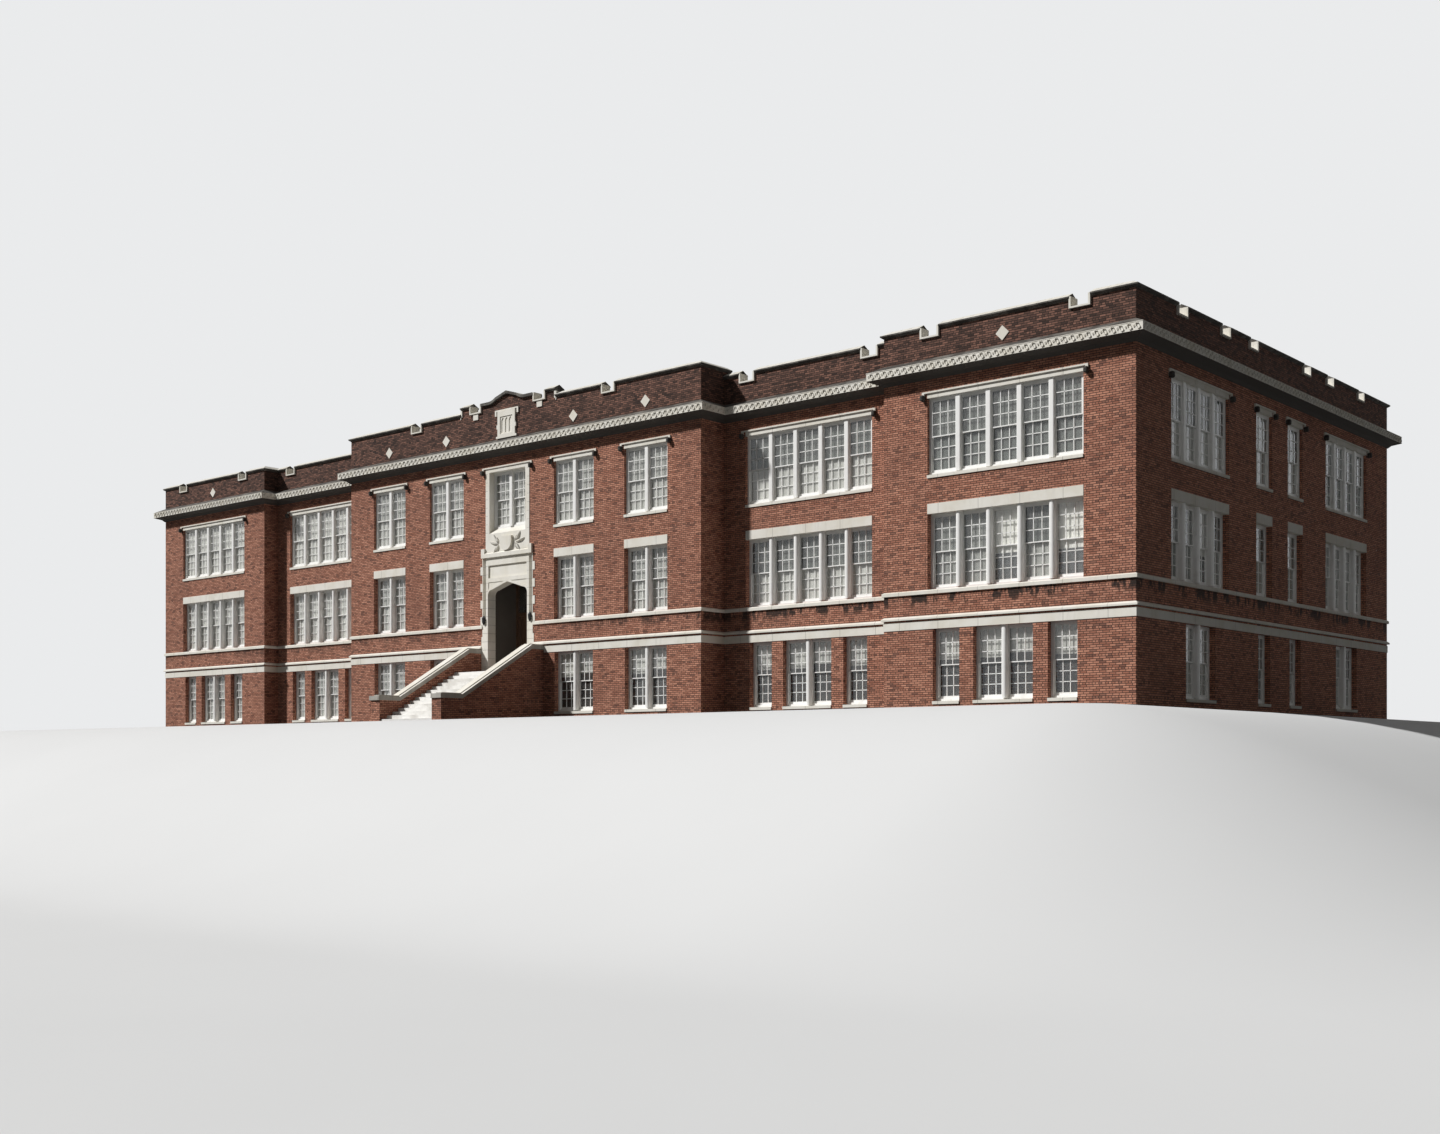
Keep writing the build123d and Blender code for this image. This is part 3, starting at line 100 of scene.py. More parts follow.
class Wire:
    """An output socket that takes part in Python arithmetic."""

    def __init__(self, finish, socket):
        self.finish = finish
        self.socket = socket

    def __rsub__(self, other):
        return self.finish.node("ShaderNodeMath", {"operation": "SUBTRACT"}, {}, other, self)

    __sub__ = adds("SUBTRACT")
    __add__ = __radd__ = adds("ADD")
    __mul__ = __rmul__ = adds("MULTIPLY")
    __truediv__ = adds("DIVIDE")
    __mod__ = adds("FLOORED_MODULO")
    __pow__ = adds("POWER")
    __abs__ = adds("ABSOLUTE")
    __gt__ = adds("GREATER_THAN")
    __lt__ = adds("LESS_THAN")
    floor = adds("FLOOR")
    least = adds("MINIMUM")
    most = adds("MAXIMUM")

    def ease(self, low, high):
        """0 below low and 1 above high, with a smooth step between; high may be the lower."""
        settings = {"interpolation_type": "SMOOTHSTEP"}
        values = {"Value": self, "From Min": low, "From Max": high}
        return self.finish.node("ShaderNodeMapRange", settings, values)


class Finish:
    """One material, or the world, and the nodes that make it."""

    def __init__(self, name, owner=None):
        self.material = owner or bpy.data.materials.new(name)
        self.material.use_nodes = True
        self.tree = self.material.node_tree
        self.tree.nodes.clear()
        self.place = self.node("ShaderNodeTexCoord", outlet="Object")
        self.x, self.y, self.z = self.parts(self.place)
        normal = self.node("ShaderNodeNewGeometry", outlet="True Normal")
        self.nx, self.ny, self.nz = self.parts(normal)

    def parts(self, vector):
        """X, Y and Z of a vector."""
        split = self.node("ShaderNodeSeparateXYZ", {}, {}, vector, outlet=None)
        return [Wire(self, outlet) for outlet in split.outputs]

    def node(self, kind, settings=None, values=None, *inputs, outlet=0):
        """Adds a node: its settings first, then its inputs by name, by number or in order."""
        made = self.tree.nodes.new(kind)
        for key, value in (settings or {}).items():
            setattr(made, key, value)
        named = [(made.inputs[key], value) for key, value in (values or {}).items()]
        for target, value in [*zip(made.inputs, inputs), *named]:
            if isinstance(value, Wire):
                self.tree.links.new(value.socket, target)
            elif isinstance(value, tuple) and len(value) == 3 and target.type == "RGBA":
                target.default_value = (*value, 1.0)
            else:
                target.default_value = value
        return made if outlet is None else Wire(self, made.outputs[outlet])

    def mix(self, share, first, second):
        """Blend of two colours. Mix has sockets A and B for each type, so they go by number."""
        sockets = {0: share, 6: first, 7: second}
        return self.node("ShaderNodeMix", {"data_type": "RGBA"}, sockets, outlet=2)

    def noise(self, size, detail=3.0, stretch=(1, 1, 1), roughness=0.55):
        """Noise of a feature size in metres, stretched along the axes."""
        scale = {"Scale": tuple(1 / (size * s) for s in stretch)}
        where = self.node("ShaderNodeMapping", {}, {"Vector": self.place, **scale})
        values = {"Vector": where, "Scale": 1.0, "Detail": detail, "Roughness": roughness}
        return self.node("ShaderNodeTexNoise", {}, values)

    def chance(self, *parts):
        """A random number for each set of whole numbers."""
        key = self.node("ShaderNodeCombineXYZ", {}, {}, *parts)
        return self.node("ShaderNodeTexWhiteNoise", {}, {"Vector": key})

    def seen(self):
        """1 where the camera, a mirror or a clear pane shows it, 0 where it lights others."""
        rays = self.node("ShaderNodeLightPath", outlet=None)
        kinds = ("Is Camera Ray", "Is Glossy Ray", "Is Transmission Ray")
        camera, glossy, clear = (Wire(self, rays.outputs[kind]) for kind in kinds)
        return camera.most(glossy).most(clear)

    def surface(self, colour, roughness, height=None, depth=0.002, **fixed):
        """Ends the material in a Principled shader with an optional bump."""
        values = {"Base Color": colour, "Roughness": roughness}
        values.update({key.replace("_", " "): value for key, value in fixed.items()})
        if height is not None:
            bump = {"Height": height, "Distance": depth, "Strength": 1.0}
            values["Normal"] = self.node("ShaderNodeBump", {}, bump)
        return self.show(self.node("ShaderNodeBsdfPrincipled", {}, values))

    def show(self, shader, output="ShaderNodeOutputMaterial"):
        """Joins a shader to the output node, which completes the material or the world."""
        self.node(output, {}, {"Surface": shader}, outlet=None)
        print(self.material.name, len(self.tree.nodes), "nodes")
        return self.material


# %% [markdown]
# ## Brickwork
# The photograph shows courses of about 70 mm with thin dark joints, and every sixth course is a
# row of headers, more of them burnt. An image of bricks would repeat and blur, so the bond is
# worked out from the place on the wall: the course number, then the brick number along it, then the
# distance to the nearest joint. White noise on those two whole numbers gives each brick its own
# colour. The walls face two ways, so the length along a wall is X or Y, whichever lies in the face.

# %% The bond
COURSE = real(0.0707)
BRICK_LENGTH = real(0.2165)
JOINT = real(0.017)
HEADER_EVERY = 6


def brick_bond(finish):
    """(brick mask, two random numbers of the brick, header course mask) of a wall."""
    sideways = abs(finish.nx) > 0.5
    flat = abs(finish.nz) > 0.5
    along = finish.x * (1 - sideways) + finish.y * sideways
    up = finish.z * (1 - flat) + finish.y * flat
    course = (up / COURSE).floor()
    header = (course % HEADER_EVERY) < 0.5
    length = BRICK_LENGTH * (1 - header * 0.5)
    shift = (course % 2) * 0.5 * (1 - header) + header * 0.25
    run = along / length + shift
    number = run.floor()
    across = run - number
    rise = up / COURSE - course
    end_gap = across.least(1 - across) * length
    bed_gap = rise.least(1 - rise) * COURSE
    brick = end_gap.least(bed_gap).ease(JOINT * 0.3, JOINT * 0.7)
    first = finish.chance(number, course, sideways)
    second = finish.chance(number + 0.5, course, sideways + flat * 2)
    return brick, first, second, header


print("a brick is", BRICK_LENGTH, "by", COURSE, "m, and a joint", JOINT, "m")

# %% [markdown]
# Rain washes soot off the sills and carries it down the brick below. The stains are noise that is
# stretched tall and masked to a band under the first floor's sill course, so they hang from the
# stone as they do on the building. The parapet is far sootier than the walls, so its tones are
# darker.

# %% Brick materials
MASONRY_GLOSS = 0.15
SILL_COURSE_HEIGHT = real(0.14)
SILL_COURSE_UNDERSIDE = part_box("string_courses")[1].z - SILL_COURSE_HEIGHT
STAIN_LENGTH = real(0.55)
STAIN_COLOUR = (0.02, 0.018, 0.016)
# The stains are faint on the left half and grow to full strength at this place on the right
STAINED_FROM = real(16.0)
FAINT_STAINS = 0.35


def brickwork(name, pale, ruddy, burnt, mortar, burnt_share, stains):
    """Brick in a running bond with header courses, stained below the sill course."""
    finish = Finish(name)
    brick, first, second, header = brick_bond(finish)
    colour = finish.mix(first, pale, ruddy)
    dark = (second + header * 0.1) > 1 - burnt_share
    colour = finish.mix(dark * 0.6, colour, burnt)
    colour = finish.mix(brick, mortar, colour)
    weather = finish.noise(1.1, detail=8.0)
    colour = finish.mix(weather.ease(0.42, 0.72) * 0.3, colour, burnt)
    streak = finish.noise(0.10, detail=6.0, stretch=(1, 1, 2.2))
    cluster = finish.noise(0.55, detail=2.0, stretch=(1, 1, 3))
    below = (SILL_COURSE_UNDERSIDE - finish.z) / STAIN_LENGTH
    hang = below.ease(1.0, 0.35) * (below > 0)
    wet = streak + hang * 0.11 + cluster.ease(0.40, 0.60) * 0.18
    share = finish.x.ease(0.0, STAINED_FROM) * (1 - FAINT_STAINS) + FAINT_STAINS
    colour = finish.mix(wet.ease(0.66, 0.78) * hang * share * stains, colour, STAIN_COLOUR)
    grain = finish.noise(0.006, detail=2.0)
    height = brick * 0.8 + grain * 0.2 + second * brick * 0.25
    return finish.surface(colour, 0.9, height, real(0.008), Specular_IOR_Level=MASONRY_GLOSS)


wall_brick = brickwork(
    "wall_brick",
    pale=(0.60, 0.285, 0.19),
    ruddy=(0.35, 0.145, 0.093),
    burnt=(0.11, 0.056, 0.045),
    mortar=(0.05, 0.036, 0.03),
    burnt_share=0.07,
    stains=0.9,
)
parapet_brick = brickwork(
    "parapet_brick",
    pale=(0.27, 0.137, 0.10),
    ruddy=(0.085, 0.047, 0.037),
    burnt=(0.022, 0.016, 0.014),
    mortar=(0.03, 0.024, 0.02),
    burnt_share=0.22,
    stains=0.0,
)

# %% [markdown]
# ## Stone
# The trim is pale and close grained, cut in blocks. Joints fall at even spacings along the wall,
# so each use of the stone names its own block length and course height. A mask by the direction
# that a face looks in darkens the stone: the coping is pale on its slopes and the cornice is black
# as soot on its long sloping top. The coping's edge and the faces under it, the upright sides of
# the cheek copings and the cornice's underside are dark with soot and painted shade.

# %% Stone materials
STONE = (0.80, 0.77, 0.70)
STONE_WARM = (0.73, 0.69, 0.60)
STONE_SOOT_AND_SHADE = (0.06, 0.054, 0.048)
# A joint is dark within its core, and clean stone begins beyond its edge
JOINT_CORE = real(0.004)
JOINT_EDGE = real(0.009)
SLAB_HALF = real(1.20)


def stonework(name, block, course, grime, slope_soot, edge_soot_and_shade=0.0, under_soot_and_shade=0.0, offset=0.0):
    """Cut stone with joints at a block length and, where course isn't 0, at a course height.

    The courses are those of the quoins: the stone between them, over the arch, is one slab.
    """
    finish = Finish(name)
    sideways = abs(finish.nx) > 0.5
    along = finish.x * (1 - sideways) + finish.y * sideways
    run = along / block
    gap = abs(run - run.floor() - 0.5) * block
    joint = gap.ease(JOINT_CORE, JOINT_EDGE)
    if course:
        level = (finish.z - offset) / course + 0.5
        bed = abs(level - level.floor() - 0.5) * course
        slab = abs(finish.x) < SLAB_HALF
        joint = joint * bed.ease(JOINT_CORE, JOINT_EDGE).most(slab)
    tone = finish.noise(0.35, detail=5.0)
    colour = finish.mix(tone.ease(0.35, 0.7), STONE, STONE_WARM)
    streak = finish.noise(0.09, detail=4.0, stretch=(1, 1, 5))
    colour = finish.mix(streak.ease(0.52, 0.75) * grime, colour, STONE_SOOT_AND_SHADE)
    slope = finish.nz.ease(0.12, 0.5)
    patch = finish.noise(0.25, detail=4.0).ease(0.3, 0.6)
    colour = finish.mix(slope * slope_soot * (0.85 + patch * 0.15), colour, STONE_SOOT_AND_SHADE)
    # Upright faces and undersides are darkened: partly soot, partly painted shade
    upright_soot_and_shade = finish.nz.ease(0.35, 0.2) * (0.8 + patch * 0.2)
    colour = finish.mix(upright_soot_and_shade * edge_soot_and_shade, colour, STONE_SOOT_AND_SHADE)
    # Undersides are darkened further: soot together with painted shade under the cornice
    under = finish.nz.ease(-0.3, -0.7)
    colour = finish.mix(under * under_soot_and_shade, colour, STONE_SOOT_AND_SHADE)
    colour = finish.mix((1 - joint) * 0.5, colour, STONE_SOOT_AND_SHADE)
    grain = finish.noise(0.004, detail=3.0)
    height = joint * 0.7 + grain * 0.3
    return finish.surface(colour, 0.85, height, real(0.006), Specular_IOR_Level=MASONRY_GLOSS)


QUOIN_COURSE = real(0.345)
# So long that no joint crosses the portal, and hardly any crosses the small pieces
LONG_BLOCK = real(9.0)
FIRST_FLOOR_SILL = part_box("first_floor_window_frames")[0].z
trim_stone = stonework("trim_stone", real(1.52), 0, 0.08, slope_soot=0.1)
# Painted shade mixed with soot darkens the coping's edge and undercut and the cornice's underside
coping_stone = stonework("coping_stone", real(0.40), 0, 0.3, slope_soot=0.2, edge_soot_and_shade=0.97)
cornice_stone = stonework("cornice_stone", real(0.92), 0, 0.1, slope_soot=1.0, under_soot_and_shade=0.96)
portal_stone = stonework(
    "portal_stone", LONG_BLOCK, QUOIN_COURSE, 0.08, slope_soot=0.1, offset=FIRST_FLOOR_SILL
)
lining_stone = stonework("lining_stone", LONG_BLOCK, 0, 0.08, slope_soot=0.05)
# Painted shade mixed with soot darkens the upright sides of the cheek copings
cheek_stone = stonework("cheek_stone", real(1.1), 0, 0.1, slope_soot=0.08, edge_soot_and_shade=0.55)

# %% [markdown]
# ## Concrete, plaster, roofing, paint, timber and iron
# These are quiet surfaces. Each still gets the detail that tells it apart close by: pits and wear
# on the treads, gravel in the tar of the roof, brush marks in the paint, grain along the boards.

# %% The quiet materials
PIT_COLOUR = (0.16, 0.15, 0.14)


def concrete_finish(name, pale, worn, spots):
    finish = Finish(name)
    tone = finish.noise(0.3, detail=8.0)
    pits = finish.noise(0.012, detail=3.0)
    colour = finish.mix(tone.ease(0.42, 0.7), pale, worn)
    colour = finish.mix(pits.ease(0.62, 0.72) * spots, colour, PIT_COLOUR)
    return finish.surface(colour, 0.85, pits * 0.6 + tone * 0.4, 0.003)


def roofing_finish():
    finish = Finish("tar_and_gravel")
    pebbles = {"Vector": finish.place, "Scale": 45.0}
    stone = finish.node("ShaderNodeTexVoronoi", {}, pebbles, outlet="Distance")
    patch = finish.noise(1.6, detail=5.0)
    colour = finish.mix(stone.ease(0.2, 0.6), (0.22, 0.21, 0.20), (0.07, 0.068, 0.066))
    colour = finish.mix(patch.ease(0.4, 0.7) * 0.2, colour, (0.30, 0.29, 0.27))
    return finish.surface(colour, 0.92, 1 - stone, 0.006)


def plaster_dark_as_shade_finish():
    finish = Finish("plaster")
    tone = finish.noise(0.4, detail=4.0)
    # The porch plaster is painted nearly black, as painted shade deep in the porch
    colour = finish.mix(tone, (0.12, 0.105, 0.09), (0.08, 0.07, 0.06))
    return finish.surface(colour, 0.9, tone, 0.002)


def paint_finish():
    finish = Finish("white_paint")
    brush = finish.noise(0.006, detail=2.0, stretch=(1, 1, 9))
    dirt = finish.noise(0.2, detail=5.0)
    colour = finish.mix(dirt.ease(0.5, 0.75) * 0.3, (0.86, 0.85, 0.82), (0.55, 0.52, 0.46))
    return finish.surface(colour, 0.42, brush, 0.0006)


def timber_finish():
    finish = Finish("dark_timber")
    grain = finish.noise(0.012, detail=4.0, stretch=(1, 1, 12))
    colour = finish.mix(grain.ease(0.3, 0.7), (0.15, 0.085, 0.05), (0.06, 0.033, 0.02))
    return finish.surface(colour, 0.38, grain, 0.0008, Coat_Weight=0.25)


def iron_finish():
    finish = Finish("black_iron")
    rust = finish.noise(0.02, detail=5.0)
    colour = finish.mix(rust.ease(0.58, 0.75) * 0.6, (0.022, 0.022, 0.023), (0.11, 0.05, 0.028))
    return finish.surface(colour, 0.5, rust, 0.0008, Metallic=0.6)


concrete = concrete_finish("floor_concrete", (0.20, 0.19, 0.18), (0.14, 0.133, 0.125), 0.5)
stair_stone = concrete_finish("worn_step_stone", (0.80, 0.785, 0.75), (0.62, 0.60, 0.56), 0.15)
roofing = roofing_finish()
plaster = plaster_dark_as_shade_finish()
white_paint = paint_finish()
dark_timber = timber_finish()
black_iron = iron_finish()

# %% [markdown]
# ## Window glass
# Old sheet glass is nearly invisible straight on and mirrors the sky at a slant. A refracting
# solid would keep sunlight off the shades behind it, so the pane is a mix of a clear shader and a
# mirror, with a slow ripple so that reflections bend as they do in old panes. Light passes unbent,
# so a Fresnel node would take the inner face for one that turns every slanting ray back. The share
# of the mirror therefore grows with the fifth power of the slant, the same on both faces.
# A thin film of dust catches the sun, which is why the panes look grey and not black where no
# shade hangs behind them, and why the jamb's shadow on them stays a sharp black strip.

# %% Glass
MIRROR_STRAIGHT_ON = 0.04


def glass_finish():
    finish = Finish("old_window_glass")
    ripple = {"Height": finish.noise(0.16, detail=1.0), "Distance": 0.0008, "Strength": 0.6}
    normal = finish.node("ShaderNodeBump", {}, ripple)
    clear = finish.node("ShaderNodeBsdfTransparent", {}, {"Color": (0.985, 0.99, 0.985)})
    dust = finish.node("ShaderNodeBsdfDiffuse", {}, {"Color": (0.75, 0.73, 0.69)})
    film = finish.noise(0.4, detail=3.0).ease(0.3, 0.7) * 0.025 + 0.03
    dusty = finish.node("ShaderNodeMixShader", {}, {}, film, clear, dust)
    gloss = {"Color": (0.95, 0.97, 1.0), "Roughness": 0.03, "Normal": normal}
    mirror = finish.node("ShaderNodeBsdfGlossy", {}, gloss)
    facing = {"Blend": 0.5, "Normal": normal}
    away = finish.node("ShaderNodeLayerWeight", {}, facing, outlet="Facing")
    slant = away**5.0 * (1 - MIRROR_STRAIGHT_ON) + MIRROR_STRAIGHT_ON
    return finish.show(finish.node("ShaderNodeMixShader", {}, {}, slant, dusty, mirror))


window_glass = glass_finish()

# %% [markdown]
# ## Finishes on the frame's own pieces
# Each CAD node keeps its shape and trades its plain material for a finished one. The table goes
# from a finish to the nodes that wear it, which keeps like pieces alike.

# %% Assign the finishes
WALLS = [name for name in nodes if name.endswith("_wall")] + ["stair_cheek_walls"]
WORN_BY = {
    wall_brick: WALLS,
    parapet_brick: ["front_parapet", "side_and_rear_parapet"],
    trim_stone: ["string_courses", "first_floor_lintels", "second_floor_hoods", "window_sills"],
    coping_stone: ["front_coping", "side_and_rear_coping"],
    cheek_stone: ["cheek_wall_copings"],
    cornice_stone: ["front_cornice", "side_and_rear_cornice"],
    portal_stone: ["portal_surround", "portal_window_surround"],
    lining_stone: ["notch_linings", "lozenge_tiles", "gable_tablet", "portal_hood", "shield_panel"],
    concrete: ["basement_floor", "first_floor", "second_floor", "porch_floor"],
    stair_stone: ["entrance_steps", "entrance_landing"],
    roofing: ["roof_deck"],
    # The porch walls wear plaster painted dark as shade
    plaster: ["porch_walls"],
    white_paint: [name for name in nodes if name.endswith("_window_frames")],
    dark_timber: ["entrance_door_frame", "entrance_doors"],
    black_iron: ["portal_lanterns"],
    window_glass: [name for name in nodes if name.endswith("_glass")],
}
for material, names in WORN_BY.items():
    for name in names:
        mesh = nodes[name].data
        mesh.materials.clear()
        mesh.materials.append(material)
bare = sorted(set(nodes) - {name for names in WORN_BY.values() for name in names})
print("nodes without a finish", bare)

# %% [markdown]
# ## Finding the windows
# The sashes must fit the frames exactly, so their places are read from the frame itself. Each
# window has one sheet of glass on the back of its timber frame. Splitting the glass node into its
# loose solids gives one box for each window, and the box tells the wall it is in, its width, its
# height and so how many lights it has.

# %% Windows of a storey
FRAME_BAR = 0.040
MULLION = 0.075
FRAME_DEPTH = 0.060
LIGHT_PITCH = 0.55
# Glass lower than this is the transom over the doors, which has no sashes
TALL_ENOUGH = 0.9
UP = Vector((0, 0, 1))


def loose_boxes(name):
    """Lowest and highest corner of each separate solid of a node."""
    mesh = bmesh.new()
    mesh.from_mesh(nodes[name].data)
    bmesh.ops.remove_doubles(mesh, verts=mesh.verts, dist=1e-5)
    waiting = set(mesh.verts)
    boxes = []
    while waiting:
        group = [waiting.pop()]
        for vert in group:
            for edge in vert.link_edges:
                other = edge.other_vert(vert)
                if other in waiting:
                    waiting.discard(other)
                    group.append(other)
        corners = [[f(v.co[i] for v in group) for i in range(3)] for f in (min, max)]
        boxes.append((Vector(corners[0]), Vector(corners[1])))
    mesh.free()
    return sorted(boxes, key=lambda b: tuple(round(c, 3) for c in b[0]))


class Opening:
    """A window, or a stone on a wall, seen from outside: u runs right, v up and w outward.

    They start at its lower left, moved out by the depth of the frame in front of the glass.
    """

    def __init__(self, low, high):
        size = high - low
        thin = 1 if size.x > size.y else 0
        outward = Vector((0, 0, 0))
        outward[thin] = -1 if low[thin] < 0 else 1
        along = UP.cross(outward)
        # The lower left corner is the one furthest outward and furthest back along the wall
        sign = outward - along
        left = Vector([high[i] if sign[i] > 0 else low[i] for i in range(3)])
        turn = Matrix((along, UP, outward)).transposed().to_4x4()
        self.matrix = Matrix.Translation(left + outward * FRAME_DEPTH) @ turn
        self.width = size[1 - thin]
        self.height = size.z
        self.lights = max(1, round((self.width - FRAME_BAR) / LIGHT_PITCH))
        self.centre = (low + high) / 2
        self.front = outward.y < 0

    def light(self, index):
        """Left and right edge of one light between the mullions."""
        clear = (self.width - 2 * FRAME_BAR - (self.lights - 1) * MULLION) / self.lights
        left = FRAME_BAR + index * (clear + MULLION)
        return left, left + clear

    def heights(self):
        """Foot, middle and head of the lights."""
        low, high = FRAME_BAR, self.height - FRAME_BAR
        return low, (low + high) / 2, high


STOREYS = ("basement", "first_floor", "second_floor")
windows = {}
for storey in STOREYS:
    found = [Opening(*corners) for corners in loose_boxes(f"{storey}_glass")]
    windows[storey] = [w for w in found if w.height > TALL_ENOUGH]
    lights = sum(w.lights for w in windows[storey])
    print(storey, len(windows[storey]), "windows,", lights, "lights")

# %% [markdown]
# ## Building with blocks
# Sashes are straight timber, so a cube scaled and placed in the window's own axes does the work.
# One helper adds such a block to a bmesh, and one rounds its edges. A finished bmesh becomes mesh
# data, the data gets an object in the scene, and a piece is such an object that rides on the
# building and carries its material.

# %% Helpers for pieces


def block(mesh, matrix, u, v, w):
    """Adds a box between pairs of values along the three axes of a matrix."""
    middle = Matrix.Translation([(pair[0] + pair[1]) / 2 for pair in (u, v, w)])
    size = Matrix.Diagonal([abs(pair[1] - pair[0]) for pair in (u, v, w)] + [1])
    return bmesh.ops.create_cube(mesh, size=1, matrix=matrix @ middle @ size)["verts"]


def bevel(mesh, edges, width, segments):
    """Rounds some edges."""
    shape = {"segments": segments, "profile": 0.5, "affect": "EDGES", "material": -1}
    bmesh.ops.bevel(mesh, geom=edges, offset=width, **shape)


def settled(name, mesh):
    """Turns a finished bmesh into mesh data."""
    data = bpy.data.meshes.new(name)
    mesh.to_mesh(data)
    mesh.free()
    return data


def placed(name, data):
    """Makes an object of some data and links it to the scene."""
    made = bpy.data.objects.new(name, data)
    bpy.context.scene.collection.objects.link(made)
    return made


def piece(name, mesh, material):
    """Makes an object of a finished bmesh that moves with the building."""
    data = settled(name, mesh)
    data.materials.append(material)
    made = placed(name, data)
    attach(made, "root")
    triangles = sum(len(p.vertices) - 2 for p in data.polygons)
    print(name, triangles, "triangles")
    return made


# %% [markdown]
# ## Nine-over-nine sashes
# Every light is a double-hung window. The upper sash slides in front and the lower one behind it,
# so the meeting rail throws the sharp black line that runs across each window in the photograph.
# Both are three panes wide and three high. The bars are separate thin timbers, true to scale.

# %% Sashes and panes
STILE = real(0.045)
RAIL = real(0.034)
BOTTOM_RAIL = real(0.09)
GLAZING_BAR = real(0.026)
SASH_DEPTH = real(0.042)
UPPER_SET_BACK = real(0.004)
LOWER_SET_BACK = UPPER_SET_BACK + SASH_DEPTH + real(0.012)
PANES_ACROSS = 3
PANES_HIGH = 3
PANE_THICKNESS = real(0.006)


def sash(mesh, matrix, u, v, front, bottom_rail):
    """Adds one glazed frame: two stiles, two rails and the bars between the panes."""
    w = (front - SASH_DEPTH, front)
    inner_u = (u[0] + STILE, u[1] - STILE)
    inner_v = (v[0] + bottom_rail, v[1] - RAIL)
    block(mesh, matrix, (u[0], inner_u[0]), v, w)
    block(mesh, matrix, (inner_u[1], u[1]), v, w)
    block(mesh, matrix, inner_u, (v[0], inner_v[0]), w)
    block(mesh, matrix, inner_u, (inner_v[1], v[1]), w)
    bar = (front - SASH_DEPTH * 0.75, front - SASH_DEPTH * 0.1)
    half = GLAZING_BAR / 2
    for i in range(1, PANES_ACROSS):
        at = inner_u[0] + (inner_u[1] - inner_u[0]) * i / PANES_ACROSS
        block(mesh, matrix, (at - half, at + half), inner_v, bar)
    for i in range(1, PANES_HIGH):
        at = inner_v[0] + (inner_v[1] - inner_v[0]) * i / PANES_HIGH
        block(mesh, matrix, inner_u, (at - half, at + half), bar)
    return inner_u, inner_v


def glaze(storey):
    """Sashes and panes of one storey."""
    timber, glass = bmesh.new(), bmesh.new()
    for window in windows[storey]:
        low, middle, high = window.heights()
        for i in range(window.lights):
            u = window.light(i)
            parts = (
                ((middle - RAIL / 2, high), -UPPER_SET_BACK, RAIL),
                ((low, middle + RAIL / 2), -LOWER_SET_BACK, BOTTOM_RAIL),
            )
            for v, front, bottom_rail in parts:
                inner_u, inner_v = sash(timber, window.matrix, u, v, front, bottom_rail)
                back = front - SASH_DEPTH * 0.5
                w = (back - PANE_THICKNESS, back)
                block(glass, window.matrix, inner_u, inner_v, w)
    piece(f"{storey}_sashes", timber, white_paint)
    return piece(f"{storey}_panes", glass, window_glass)


for storey in STOREYS:
    panes = glaze(storey)
    # The first floor's sheets stay, behind the shades: one of them glazes the doors' transom
    if storey != "first_floor":
        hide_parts(f"{storey}_glass")

# %% [markdown]
# ## Noses on the mullions
# The posts between the lights stand out of the reveal almost to the face of the wall. Their front
# is rounded, so each one runs from white to grey across its width and the shadow of the lintel
# ends on it in a point. A nose is a box with its two front edges bevelled round, and it stops on
# the sill and under the head.

# %% Noses
# How deep the window frames of each storey stand behind the face of their wall
SET_BACK = {"basement": 0.100, "first_floor": 0.105, "second_floor": 0.055}
NOSE_BEHIND_WALL = real(0.04)
NOSE_WIDTH = real(0.19)
NOSE_ROUND = 0.46
NOSE_SEGMENTS = 4


def nose(mesh, matrix, u, v, depth):
    """Adds a post with a rounded front between two heights."""
    made = block(mesh, matrix, u, v, (0, depth))
    inverse = matrix.inverted()
    front = [
        edge
        for edge in {edge for vert in made for edge in vert.link_edges}
        if all((inverse @ vert.co).z > depth * 0.9 for vert in edge.verts)
        and abs((edge.verts[0].co - edge.verts[1].co).z) > depth
    ]
    bevel(mesh, front, min(depth, abs(u[1] - u[0])) * NOSE_ROUND, NOSE_SEGMENTS)


mesh = bmesh.new()
for storey in STOREYS:
    for window in windows[storey]:
        depth = SET_BACK[storey] - NOSE_BEHIND_WALL
        v = (FRAME_BAR * 0.5, window.height)
        for i in range(1, window.lights):
            middle = window.light(i)[0] - MULLION / 2
            u = (middle - NOSE_WIDTH / 2, middle + NOSE_WIDTH / 2)
            nose(mesh, window.matrix, u, v, depth)
made = piece("mullion_noses", mesh, white_paint)
for polygon in made.data.polygons:
    polygon.use_smooth = False

# %% [markdown]
# ## Stops under the hood moulds
# The ends of each hood mould turn down the wall and end in a carved stop. The stops are coloured
# near black, so against the pale stone they read as two black tufts. Each is a small block, wider
# than the ear that it closes, with every edge rounded. The node's loose solids say where the ears
# are, and the hood of the window over the portal is part of that window's surround.

# %% Hood stops
STOP_WIDTH = 0.075
STOP_HEIGHT = 0.10
STOP_DEPTH = 0.085
STOP_SUNK = 0.028
# Share of a stop's height below the ear, and share of its width that rounds an edge
STOP_BELOW = 0.3
STOP_ROUND = 0.35
STOP_SEGMENTS = 3
EAR_WIDTH = 0.045
EAR_DROP = 0.120
# Solids lower than this are straight middles of a hood, without an ear
EARED = 0.8 * EAR_DROP


def stop_finish():
    finish = Finish("near_black_stone")
    patch = finish.noise(0.05, detail=5.0)
    colour = finish.mix(patch.ease(0.35, 0.7), (0.035, 0.032, 0.03), (0.10, 0.09, 0.08))
    return finish.surface(colour, 0.9, patch, 0.004, Specular_IOR_Level=MASONRY_GLOSS)


